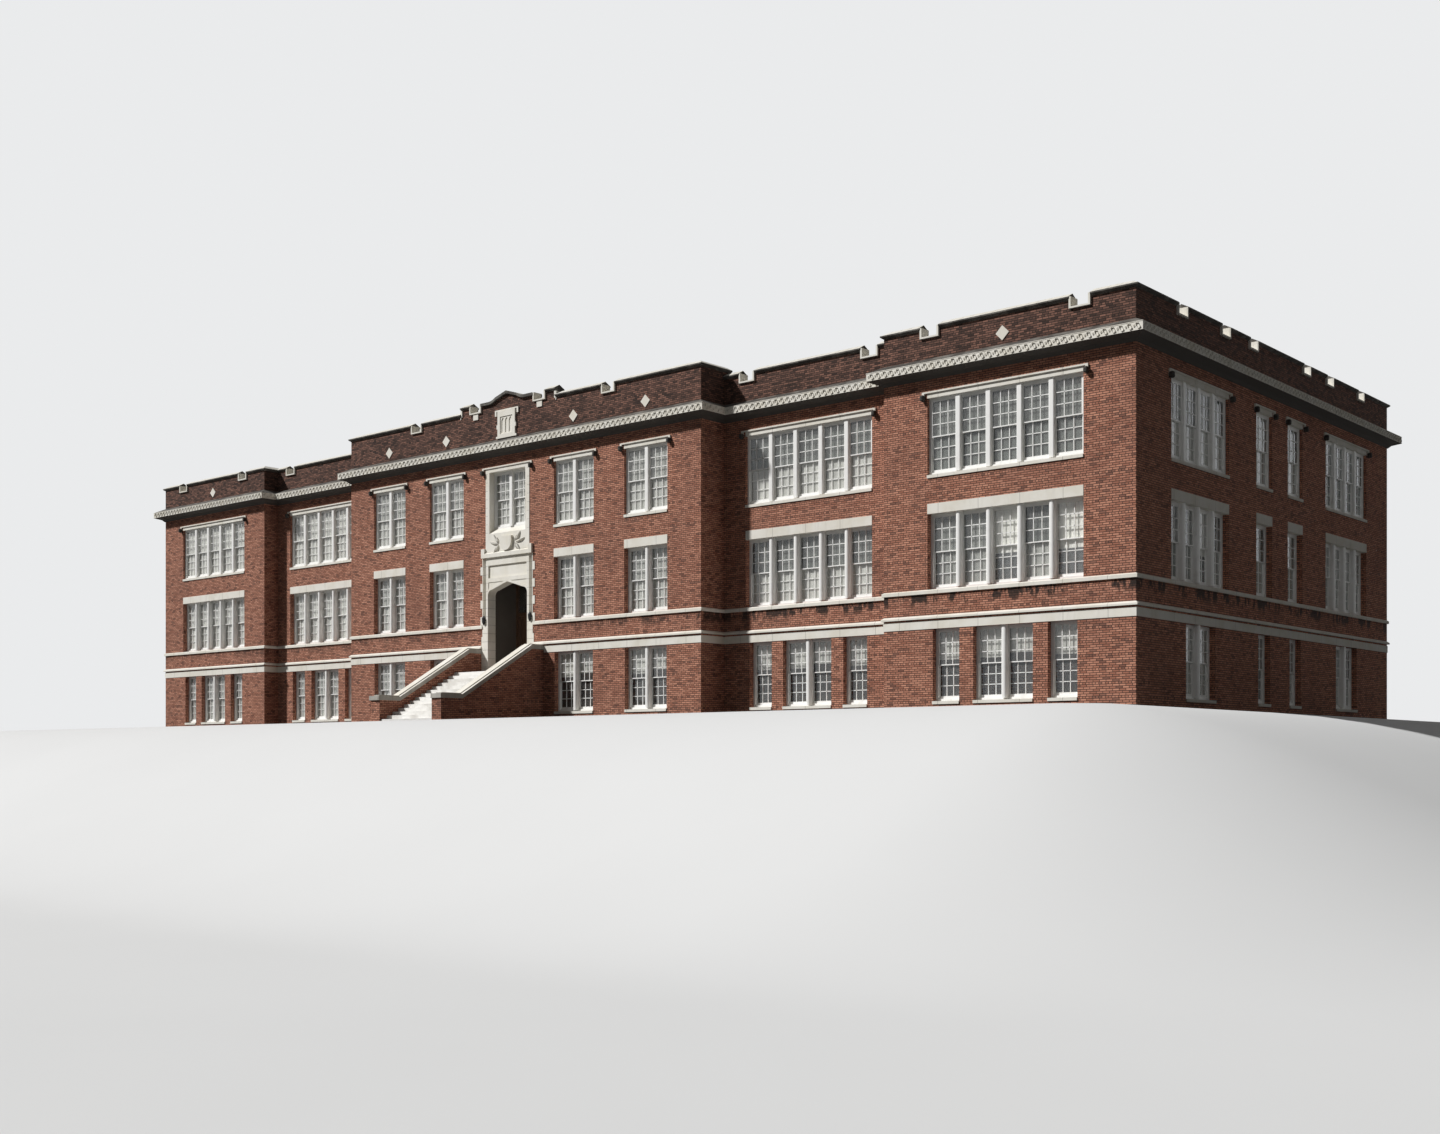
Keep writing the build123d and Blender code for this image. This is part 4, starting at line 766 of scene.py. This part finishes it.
mesh = bmesh.new()
boxes = [box for box in loose_boxes("second_floor_hoods") if box[1].z - box[0].z > EARED]
low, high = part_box("portal_window_surround")
boxes.append((Vector((low[0], low[1], high[2] - EAR_DROP)), Vector(high)))
for low, high in boxes:
    hood = Opening(low, high)
    face = hood.matrix @ Matrix.Translation((0, 0, -FRAME_DEPTH))
    for middle in (EAR_WIDTH / 2, hood.width - EAR_WIDTH / 2):
        u = (middle - STOP_WIDTH / 2, middle + STOP_WIDTH / 2)
        v = (-STOP_HEIGHT * STOP_BELOW, STOP_HEIGHT * (1 - STOP_BELOW))
        made = block(mesh, face, u, v, (-STOP_SUNK, STOP_DEPTH - STOP_SUNK))
        edges = {edge for vert in made for edge in vert.link_edges}
        bevel(mesh, list(edges), STOP_WIDTH * STOP_ROUND, STOP_SEGMENTS)
print(len(boxes), "hood moulds")
piece("hood_stops", mesh, stop_finish())

# %% [markdown]
# ## Lips on the notches of the parapet
# In the photograph a black line runs under the stone lining of each notch and down its right side,
# so the linings stand further out than the wall's other stone. A thin lip of three blocks, a sill
# between two jambs, is laid on the face of every lining but the single jambs.

# %% Notch lips
LIP = real(0.034)
LIP_SUNK = real(0.004)
LIP_INSET = real(0.004)
JAMB_WIDTH = real(0.076)
NOTCH_DEPTH = real(0.31)
SILL_HEIGHT = real(0.060)
# Narrower linings are single jambs
NARROWEST = 3 * JAMB_WIDTH

mesh = bmesh.new()
linings = [Opening(*corners) for corners in loose_boxes("notch_linings")]
notches = [lining for lining in linings if lining.width >= NARROWEST]
for notch in notches:
    face = notch.matrix @ Matrix.Translation((0, 0, -FRAME_DEPTH))
    top = notch.height - LIP_INSET
    foot = notch.height - NOTCH_DEPTH - SILL_HEIGHT + LIP_INSET
    jambs = (LIP_INSET, JAMB_WIDTH - LIP_INSET)
    right = (notch.width - jambs[1], notch.width - jambs[0])
    w = (-LIP_SUNK, LIP)
    block(mesh, face, jambs, (foot, top), w)
    block(mesh, face, right, (foot, top), w)
    block(mesh, face, (jambs[1], right[0]), (foot, foot + SILL_HEIGHT - 2 * LIP_INSET), w)
bmesh.ops.remove_doubles(mesh, verts=mesh.verts, dist=1e-6)
print(len(notches), "notches")
piece("notch_lips", mesh, lining_stone)

# %% [markdown]
# ## Shades behind the glass
# Nearly every light in the photograph has cloth behind it: pale roller shades drawn to different
# heights, duller ones, and thin curtains with soft upright folds. Each is a sheet that hangs from
# the head of its light, close behind the lower sash, so it is a grid with a slight wave and no
# thickness. The tone of each sheet is stored on its faces and read back by one material.

# %% Cloth for the shades
CLOTH_PALE = (0.86, 0.84, 0.78)
CLOTH_DARK_AND_SHADE = (0.075, 0.085, 0.075)


def shade_finish():
    finish = Finish("shade_cloth")
    tone = finish.node("ShaderNodeAttribute", {"attribute_name": "tone"}, outlet="Fac")
    crease_shade_and_bump = finish.noise(0.028, detail=3.0, stretch=(1, 1, 14))
    weave = finish.noise(0.002, detail=1.0)
    colour = finish.mix(tone, CLOTH_DARK_AND_SHADE, CLOTH_PALE)
    # Darker upright streaks along the creases are painted shade; the same noise bumps the cloth
    colour = finish.mix(crease_shade_and_bump.ease(0.45, 0.7) * 0.14, colour, CLOTH_DARK_AND_SHADE)
    return finish.surface(colour, 0.9, crease_shade_and_bump * 0.97 + weave * 0.03, 0.001)


shade_cloth = shade_finish()

# %% [markdown]
# A plan names the look of every front window from left to right. A look lists, for each light in
# turn, the tone above the meeting rail, the tone below it and how far down the cloth reaches. The
# other walls have no photograph, so they draw from all looks but the short one, with a fixed seed.

# %% Looks of the windows
LOOKS = {
    "pale": [(0.70, 0.78, 1.0), (0.76, 0.72, 1.0)],
    "soft": [(0.38, 0.60, 1.0), (0.44, 0.56, 1.0)],
    "dull": [(0.09, 0.05, 1.0), (0.08, 0.04, 1.0)],
    "split": [(0.08, 0.72, 1.0), (0.10, 0.66, 1.0)],
    "mixed": [(0.16, 0.26, 1.0), (0.20, 0.30, 1.0), (1.0, 1.0, 0.6)]
    + [(0.04, 0.42, 1.0), (1.0, 1.0, 0.62)],
    "short": [(0.62, 0.0, 0.42), (0.55, 0.0, 0.36)],
}
FRONT_LOOKS = {
    "second_floor": "pale pale soft soft soft soft soft split dull".split(),
    "first_floor": "pale pale soft soft soft soft split mixed".split(),
    "basement": ["soft"] * 7 + ["pale"] + ["short"] * 8,
}
OTHER_LOOKS = "pale soft split mixed dull".split()
SEED = 7
SHADE_SET_BACK = LOWER_SET_BACK + SASH_DEPTH + real(0.012)
SHADE_CLEARANCE = real(0.008)
FOLD = real(0.005)
FOLDS_PER_METRE = 11.0
STRIPS_ACROSS = 12
STRIPS_DOWN = 2


def drape(mesh, tones, matrix, u, v, tone, phase):
    """Adds one hanging sheet with shallow upright folds, and gives its faces a tone."""
    size = Matrix.Diagonal((u[1] - u[0], v[1] - v[0], 1, 1))
    middle = Matrix.Translation(((u[0] + u[1]) / 2, (v[0] + v[1]) / 2, -SHADE_SET_BACK))
    strips = {"x_segments": STRIPS_ACROSS, "y_segments": STRIPS_DOWN}
    made = bmesh.ops.create_grid(mesh, size=0.5, matrix=middle @ size, **strips)
    for vert in made["verts"]:
        turn = 2 * math.pi * FOLDS_PER_METRE * vert.co.x + phase
        vert.co.z += FOLD * math.sin(turn)
    faces = {face for vert in made["verts"] for face in vert.link_faces}
    for face in faces:
        face[tones] = tone
    area = sum(face.calc_area() for face in faces)
    bmesh.ops.transform(mesh, matrix=matrix, verts=made["verts"])
    return area


def looks_of(storey, side, dice):
    """Windows of a storey on one side of the building with the look of each."""
    chosen = sorted((w for w in windows[storey] if side(w)), key=lambda w: w.centre.x)
    plan = FRONT_LOOKS[storey]
    for index, window in enumerate(chosen):
        name = plan[index % len(plan)] if window.front else dice.choice(OTHER_LOOKS)
        yield window, LOOKS[name]


def hang_shades(name, storey, side, dice):
    """One piece with the shades of every window of a storey that a test picks."""
    mesh = bmesh.new()
    tones = mesh.faces.layers.float.new("tone")
    width = longest = cloth = 0.0
    for window, look in looks_of(storey, side, dice):
        low, middle, high = window.heights()
        for i in range(window.lights):
            upper, lower, reach = look[i % len(look)]
            left, right = window.light(i)
            u = (left + SHADE_CLEARANCE, right - SHADE_CLEARANCE)
            foot = high - (high - low) * reach
            phase = dice.uniform(0, 2 * math.pi)
            parts = [((max(middle, foot), high), upper)]
            if foot < middle:
                parts.append(((foot, middle), lower))
            for v, tone in parts:
                cloth += drape(mesh, tones, window.matrix, u, v, tone, phase)
            width += u[1] - u[0]
            longest = max(longest, high - foot)
    bmesh.ops.remove_doubles(mesh, verts=mesh.verts, dist=1e-5)
    shades = piece(name, mesh, shade_cloth)
    area = min(cloth, width * longest)
    print("cut", round(width, 2), "by", round(longest, 2), "m, cloth", round(cloth, 2), "m2")


dice = random.Random(SEED)
for storey in STOREYS:
    hang_shades(f"{storey}_front_shades", storey, lambda w: w.front, dice)
    hang_shades(f"{storey}_other_shades", storey, lambda w: not w.front, dice)

# %% [markdown]
# ## The carved band of the cornice
# The fascia carries a running ornament: small scrolls that lean one after the other, with two
# leaves between them. Seen from the street it is a pale band with short grey strokes, which are
# shadows, so it has to be real relief and not a painted pattern. One scroll is spun from a thin
# ribbon section, and a stamp copies it along every run of the fascia, with the spacing stretched a
# little so that each run ends on a whole scroll.

# %% Runs of the fascia
CORNICE_SLOPE = real(0.22)
FASCIA_HEIGHT = real(0.27)
FASCIA_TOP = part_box("front_cornice")[1].z - CORNICE_SLOPE
FASCIA_FOOT = FASCIA_TOP - FASCIA_HEIGHT
SAME_HEIGHT = 1e-3


def fascia_runs():
    """Frame and length of each straight run, read from the upright faces of the cornice."""
    spans = {}
    for name in ("front_cornice", "side_and_rear_cornice"):
        mesh = nodes[name].data
        for polygon in mesh.polygons:
            corners = [mesh.vertices[i].co for i in polygon.vertices]
            foot, top = (f(corner.z for corner in corners) for f in (min, max))
            if abs(foot - FASCIA_FOOT) > SAME_HEIGHT or abs(top - FASCIA_TOP) > SAME_HEIGHT:
                continue
            outward = Vector([round(c) for c in polygon.normal])
            along = UP.cross(outward)
            reach = sorted(corner.dot(along) for corner in corners)
            key = (tuple(outward), round(corners[0].dot(outward), 4))
            spans.setdefault(key, []).append((reach[0], reach[-1]))
    for (outward, offset), found in spans.items():
        merged = []
        for low, high in sorted(found):
            if merged and low < merged[-1][1] + SAME_HEIGHT:
                merged[-1][1] = max(merged[-1][1], high)
            else:
                merged.append([low, high])
        outward = Vector(outward)
        along = UP.cross(outward)
        turn = Matrix((along, UP, outward)).transposed().to_4x4()
        for low, high in merged:
            origin = along * low + outward * offset + UP * FASCIA_FOOT
            yield Matrix.Translation(origin) @ turn, high - low


runs = list(fascia_runs())
print(len(runs), "runs of fascia,", round(sum(length for _, length in runs), 1), "m")

# %% One scroll and its leaves
SCROLL_PITCH = real(0.27)
SCROLL_PLACE = SCROLL_PITCH * 0.36
SCROLL_RADIUS = FASCIA_HEIGHT * 0.17
SCROLL_LEAN = FASCIA_HEIGHT * 0.10
SCROLL_SWEEP = math.radians(215)
SCROLL_STEPS = 4
RIBBON = real(0.034)
# Half of the ribbon's crown, as a share of its foot
CROWN = 0.28
RELIEF = real(0.036)
SUNK = real(0.003)
LEAF_LENGTH = FASCIA_HEIGHT * 0.42
LEAF_WIDTH = FASCIA_HEIGHT * 0.2
LEAF_DEPTH = RELIEF * 0.8
LEAF_TAPER = 0.55
# Root of each leaf, as shares of the pitch and the height, and its angle in degrees
BAND_LEAVES = ((0.74, 0.30, 55), (0.90, 0.72, 235))


def scroll(mesh, centre, start):
    """Adds a raised ribbon bent round a centre in the plane of a wall."""
    section = [(-0.5, -SUNK), (0.5, -SUNK), (CROWN, RELIEF), (-CROWN, RELIEF)]
    turn = Matrix.Translation((*centre, 0)) @ Matrix.Rotation(start, 4, "Z")
    places = [turn @ Vector((SCROLL_RADIUS + r * RIBBON, 0, w)) for r, w in section]
    verts = [mesh.verts.new(place) for place in places]
    face = mesh.faces.new(verts)
    spun = {"cent": (*centre, 0), "axis": UP, "angle": SCROLL_SWEEP, "steps": SCROLL_STEPS}
    bmesh.ops.spin(mesh, geom=[face, *face.edges, *verts], **spun)


def leaf(mesh, root, angle, length, width, depth, rings, bend=0.0):
    """Adds a pointed leaf that swells from the wall, bent sideways towards its tip."""
    made = bmesh.ops.create_uvsphere(mesh, u_segments=rings[0], v_segments=rings[1], radius=0.5)
    turn = Matrix.Translation((*root, 0)) @ Matrix.Rotation(angle, 4, "Z")
    for vert in made["verts"]:
        out = vert.co.z + 0.5
        slim = 1 - LEAF_TAPER * out
        side = vert.co.x * width * slim + bend * out * out
        vert.co = turn @ Vector((out * length, side, vert.co.y * 2 * depth))


def scroll_stamp():
    """One scroll and its leaves as a mesh to copy, from 0 to the pitch along the band."""
    mesh = bmesh.new()
    for side, start in ((1, -60), (-1, 120)):
        centre = (SCROLL_PLACE + side * SCROLL_LEAN, FASCIA_HEIGHT / 2 + side * SCROLL_RADIUS)
        scroll(mesh, centre, math.radians(start))
    for along, up, angle in BAND_LEAVES:
        root = (SCROLL_PITCH * along, FASCIA_HEIGHT * up)
        leaf(mesh, root, math.radians(angle), LEAF_LENGTH, LEAF_WIDTH, LEAF_DEPTH, rings=(5, 3))
    # The scrolls are made leaning to the left, and a flip turns them to lean to the right
    flip = Matrix.Translation((SCROLL_PITCH, 0, 0)) @ Matrix.Diagonal((-1, 1, 1, 1))
    bmesh.ops.transform(mesh, matrix=flip, verts=mesh.verts)
    bmesh.ops.recalc_face_normals(mesh, faces=mesh.faces)
    return settled("scroll_stamp", mesh)


# %% The scroll stamped along the runs
END_MARGIN = real(0.06)
FILLET = real(0.018)
FILLET_RELIEF = real(0.01)
carved_stone = stonework("carved_stone", LONG_BLOCK, 0, 0.1, slope_soot=0.5)


def stamp(mesh, data, matrix):
    """Copies a small mesh into a larger one at a place."""
    before = len(mesh.verts)
    mesh.from_mesh(data)
    mesh.verts.ensure_lookup_table()
    bmesh.ops.transform(mesh, matrix=matrix, verts=mesh.verts[before:])


mesh = bmesh.new()
data = scroll_stamp()
for matrix, length in runs:
    clear = length - 2 * END_MARGIN
    count = round(clear / SCROLL_PITCH)
    if count < 1:
        continue
    pitch = clear / count
    for i in range(count):
        stretch = Matrix.Diagonal((pitch / SCROLL_PITCH, 1, 1, 1))
        step = Matrix.Translation((END_MARGIN + i * pitch, 0, 0))
        stamp(mesh, data, matrix @ step @ stretch)
    for v in ((0, FILLET), (FASCIA_HEIGHT - FILLET, FASCIA_HEIGHT)):
        block(mesh, matrix, (0, length), v, (-SUNK, FILLET_RELIEF))
bpy.data.meshes.remove(data)
piece("cornice_carving", mesh, carved_stone)

# %% [markdown]
# ## Carving on the portal
# Between the door arch and the window above it a plain shield stands out of a panel, with curling
# leaves on both sides. Two leaves hug each edge of the shield and three more fan out from it.
# They are stretched spheres, thinned towards the tip and bent, half sunk in the stone, and thick
# enough to throw the dark strokes that the photograph shows.

# %% Leaves beside the shield
PANEL_TOP = (0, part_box("portal_surround")[0].y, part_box("shield_panel")[1].z)
PANEL_FACE = Matrix.Translation(PANEL_TOP) @ Matrix.Rotation(math.pi / 2, 4, "X")
PANEL_HEIGHT = real(0.60)
SHIELD_HALF = real(0.35)
LEAF_GAP = PANEL_HEIGHT * 0.30
LEAF_RELIEF = real(0.075)
# Height of the root, angle in degrees, length, width and bend of each leaf; sizes are shares of
# the panel's height
FAN = (
    (0.06, 84, 0.42, 0.24, -0.10),
    (-0.06, -84, 0.42, 0.24, 0.10),
    (0.12, 34, 0.70, 0.26, 0.20),
    (0.02, 2, 0.92, 0.24, 0.16),
    (-0.12, -36, 0.72, 0.26, -0.16),
)

mesh = bmesh.new()
tall = PANEL_HEIGHT
for rise, angle, *sizes in FAN:
    root = (SHIELD_HALF + LEAF_GAP, tall * (rise - 0.5))
    length, width, bend = (size * tall for size in sizes)
    leaf(mesh, root, math.radians(angle), length, width, LEAF_RELIEF, rings=(12, 10), bend=bend)
geom = [*mesh.verts, *mesh.edges, *mesh.faces]
bmesh.ops.mirror(mesh, geom=geom, axis="X", merge_dist=0)
bmesh.ops.recalc_face_normals(mesh, faces=mesh.faces)
bmesh.ops.transform(mesh, matrix=PANEL_FACE, verts=mesh.verts)
piece("panel_leaves", mesh, carved_stone)

# %% [markdown]
# The photograph shows a J-shaped shadow down the right side of the shield and round its point, so
# the shield stands far out of the panel. Its front face is copied and extruded into a second,
# thick plate on top of the first.

# %% Raised plate of the shield
SHIELD_RISE = real(0.05)
SAME_PLANE = 1e-4

mesh = bmesh.new()
mesh.from_mesh(nodes["shield_panel"].data)
bmesh.ops.remove_doubles(mesh, verts=mesh.verts, dist=1e-5)
front = min(vert.co.y for vert in mesh.verts)
behind = front + SAME_PLANE
others = [face for face in mesh.faces if max(vert.co.y for vert in face.verts) > behind]
bmesh.ops.delete(mesh, geom=others, context="FACES")
made = bmesh.ops.extrude_face_region(mesh, geom=mesh.faces[:], use_keep_orig=True)
moved = [item for item in made["geom"] if isinstance(item, bmesh.types.BMVert)]
bmesh.ops.translate(mesh, verts=moved, vec=(0, -SHIELD_RISE, 0))
bmesh.ops.recalc_face_normals(mesh, faces=mesh.faces)
piece("shield_plate", mesh, carved_stone)

# %% [markdown]
# ## The ground under the school
# The building stands on a low rise, and the photograph is taken from below it. A flat floor would
# stand between the camera and the walls, so the stage is a pale rise: level around the building
# and falling away smoothly on all sides to a wide floor. So bright a floor would light every
# soffit from below. Its colour therefore asks what kind of ray has come: the camera sees it pale,
# and the light that it passes on to the walls is that of a dark floor.

# %% Stage
RISE = 2.6
FALL_RUN = 9.0
TERRACE_MARGIN = 0.9
STAGE_REACH = 170.0
STAGE_STEPS = 240
# Width of the steps in the middle of the stage, as a share of even ones
MIDDLE_STEP = 0.25


def floor_finish():
    finish = Finish("pale_floor")
    mottle = finish.noise(5.0, detail=3.0)
    pale = finish.mix(mottle, (0.60, 0.60, 0.595), (0.64, 0.64, 0.635))
    return finish.surface(finish.mix(finish.seen(), (0.06, 0.06, 0.06), pale), 0.95)


def stage_height(x, y):
    """Height of the stage: 0 beside the building, then an eased fall."""
    low, high = cad_box
    dx = max(low[0] - TERRACE_MARGIN - x, x - high[0] - TERRACE_MARGIN, 0)
    dy = max(low[1] - TERRACE_MARGIN - y, y - high[1] - TERRACE_MARGIN, 0)
    t = min(math.hypot(dx, dy) / FALL_RUN, 1)
    return -RISE * t * t * (3 - 2 * t)


def stage_spread(t):
    """Even steps from -1 to 1 made dense near the middle."""
    return t * (MIDDLE_STEP + (1 - MIDDLE_STEP) * abs(t) ** 3)


mesh = bmesh.new()
bmesh.ops.create_grid(mesh, x_segments=STAGE_STEPS, y_segments=STAGE_STEPS, size=1)
for vert in mesh.verts:
    x, y = (stage_spread(c) * STAGE_REACH for c in vert.co.xy)
    vert.co = (x, y, stage_height(x, y))
data = settled("pale_rise", mesh)
for polygon in data.polygons:
    polygon.use_smooth = True
data.materials.append(floor_finish())
stage = placed("pale_rise", data)
stage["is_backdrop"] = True
print("the ground falls", RISE, "m over", FALL_RUN, "m")

# %% [markdown]
# ## Light and camera
# The sun in the photograph stands high on the left in front of the building: hood moulds throw
# their shadows to the right and down, and the right end wall is in shade. One sun lamp, softened,
# takes that place, and an even pale world fills the shade. The camera has a level axis and a
# raised lens, as a view camera has, so the walls stay upright.

# %% Sun, world and camera
SUN_SIDE = math.radians(45)
SUN_HEIGHT = math.radians(42.6)
SUN_STRENGTH = 4.5
SUN_SPREAD = math.radians(3)
SUN_DISTANCE = 40
SKY_FILL = 0.09
SKY_SEEN = 0.84
CAMERA_PLACE = (24.71, -27.40, -0.725)
CAMERA_TURN = 0.7178
LENS = 39.92
LENS_RAISE = 0.1342
SENSOR_WIDTH = 36
VIEW_REACH = 600


def sky_world():
    sky = Finish("pale_sky", bpy.data.worlds.new("pale_sky"))
    strength = sky.seen() * (SKY_SEEN - SKY_FILL) + SKY_FILL
    values = {"Color": (0.98, 0.99, 1.0), "Strength": strength}
    light = sky.node("ShaderNodeBackground", {}, values)
    return sky.show(light, "ShaderNodeOutputWorld")


toward = Vector((-math.sin(SUN_SIDE), -math.cos(SUN_SIDE), math.tan(SUN_HEIGHT)))
lamp = bpy.data.lights.new("soft_sun", "SUN")
lamp.energy = SUN_STRENGTH
lamp.angle = SUN_SPREAD
sun = placed("soft_sun", lamp)
sun.rotation_euler = toward.to_track_quat("Z", "Y").to_euler()
sun.location = toward.normalized() * SUN_DISTANCE
bpy.context.scene.world = sky_world()
lens = bpy.data.cameras.new("photo_view")
lens.lens = LENS
lens.sensor_width = SENSOR_WIDTH
lens.sensor_fit = "HORIZONTAL"
lens.shift_y = LENS_RAISE
lens.clip_end = VIEW_REACH
camera = placed("photo_view", lens)
camera.location = CAMERA_PLACE
camera.rotation_euler = (math.pi / 2, 0, CAMERA_TURN)
bpy.context.scene.camera = camera
bpy.context.scene.view_settings.view_transform = "Standard"
print("camera at", CAMERA_PLACE, "with a lens of", LENS, "mm")

# %% [markdown]
# ## Measuring the result
# Dressing must not change the size of the building. The box of the bare frame, measured at the
# start, is kept beside the box of the dressed model, so the two can be compared.

# %% Measure the two boxes
boxes = {"cad": cad_box, "visual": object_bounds()}
{key: [list(corner) for corner in box] for key, box in boxes.items()}
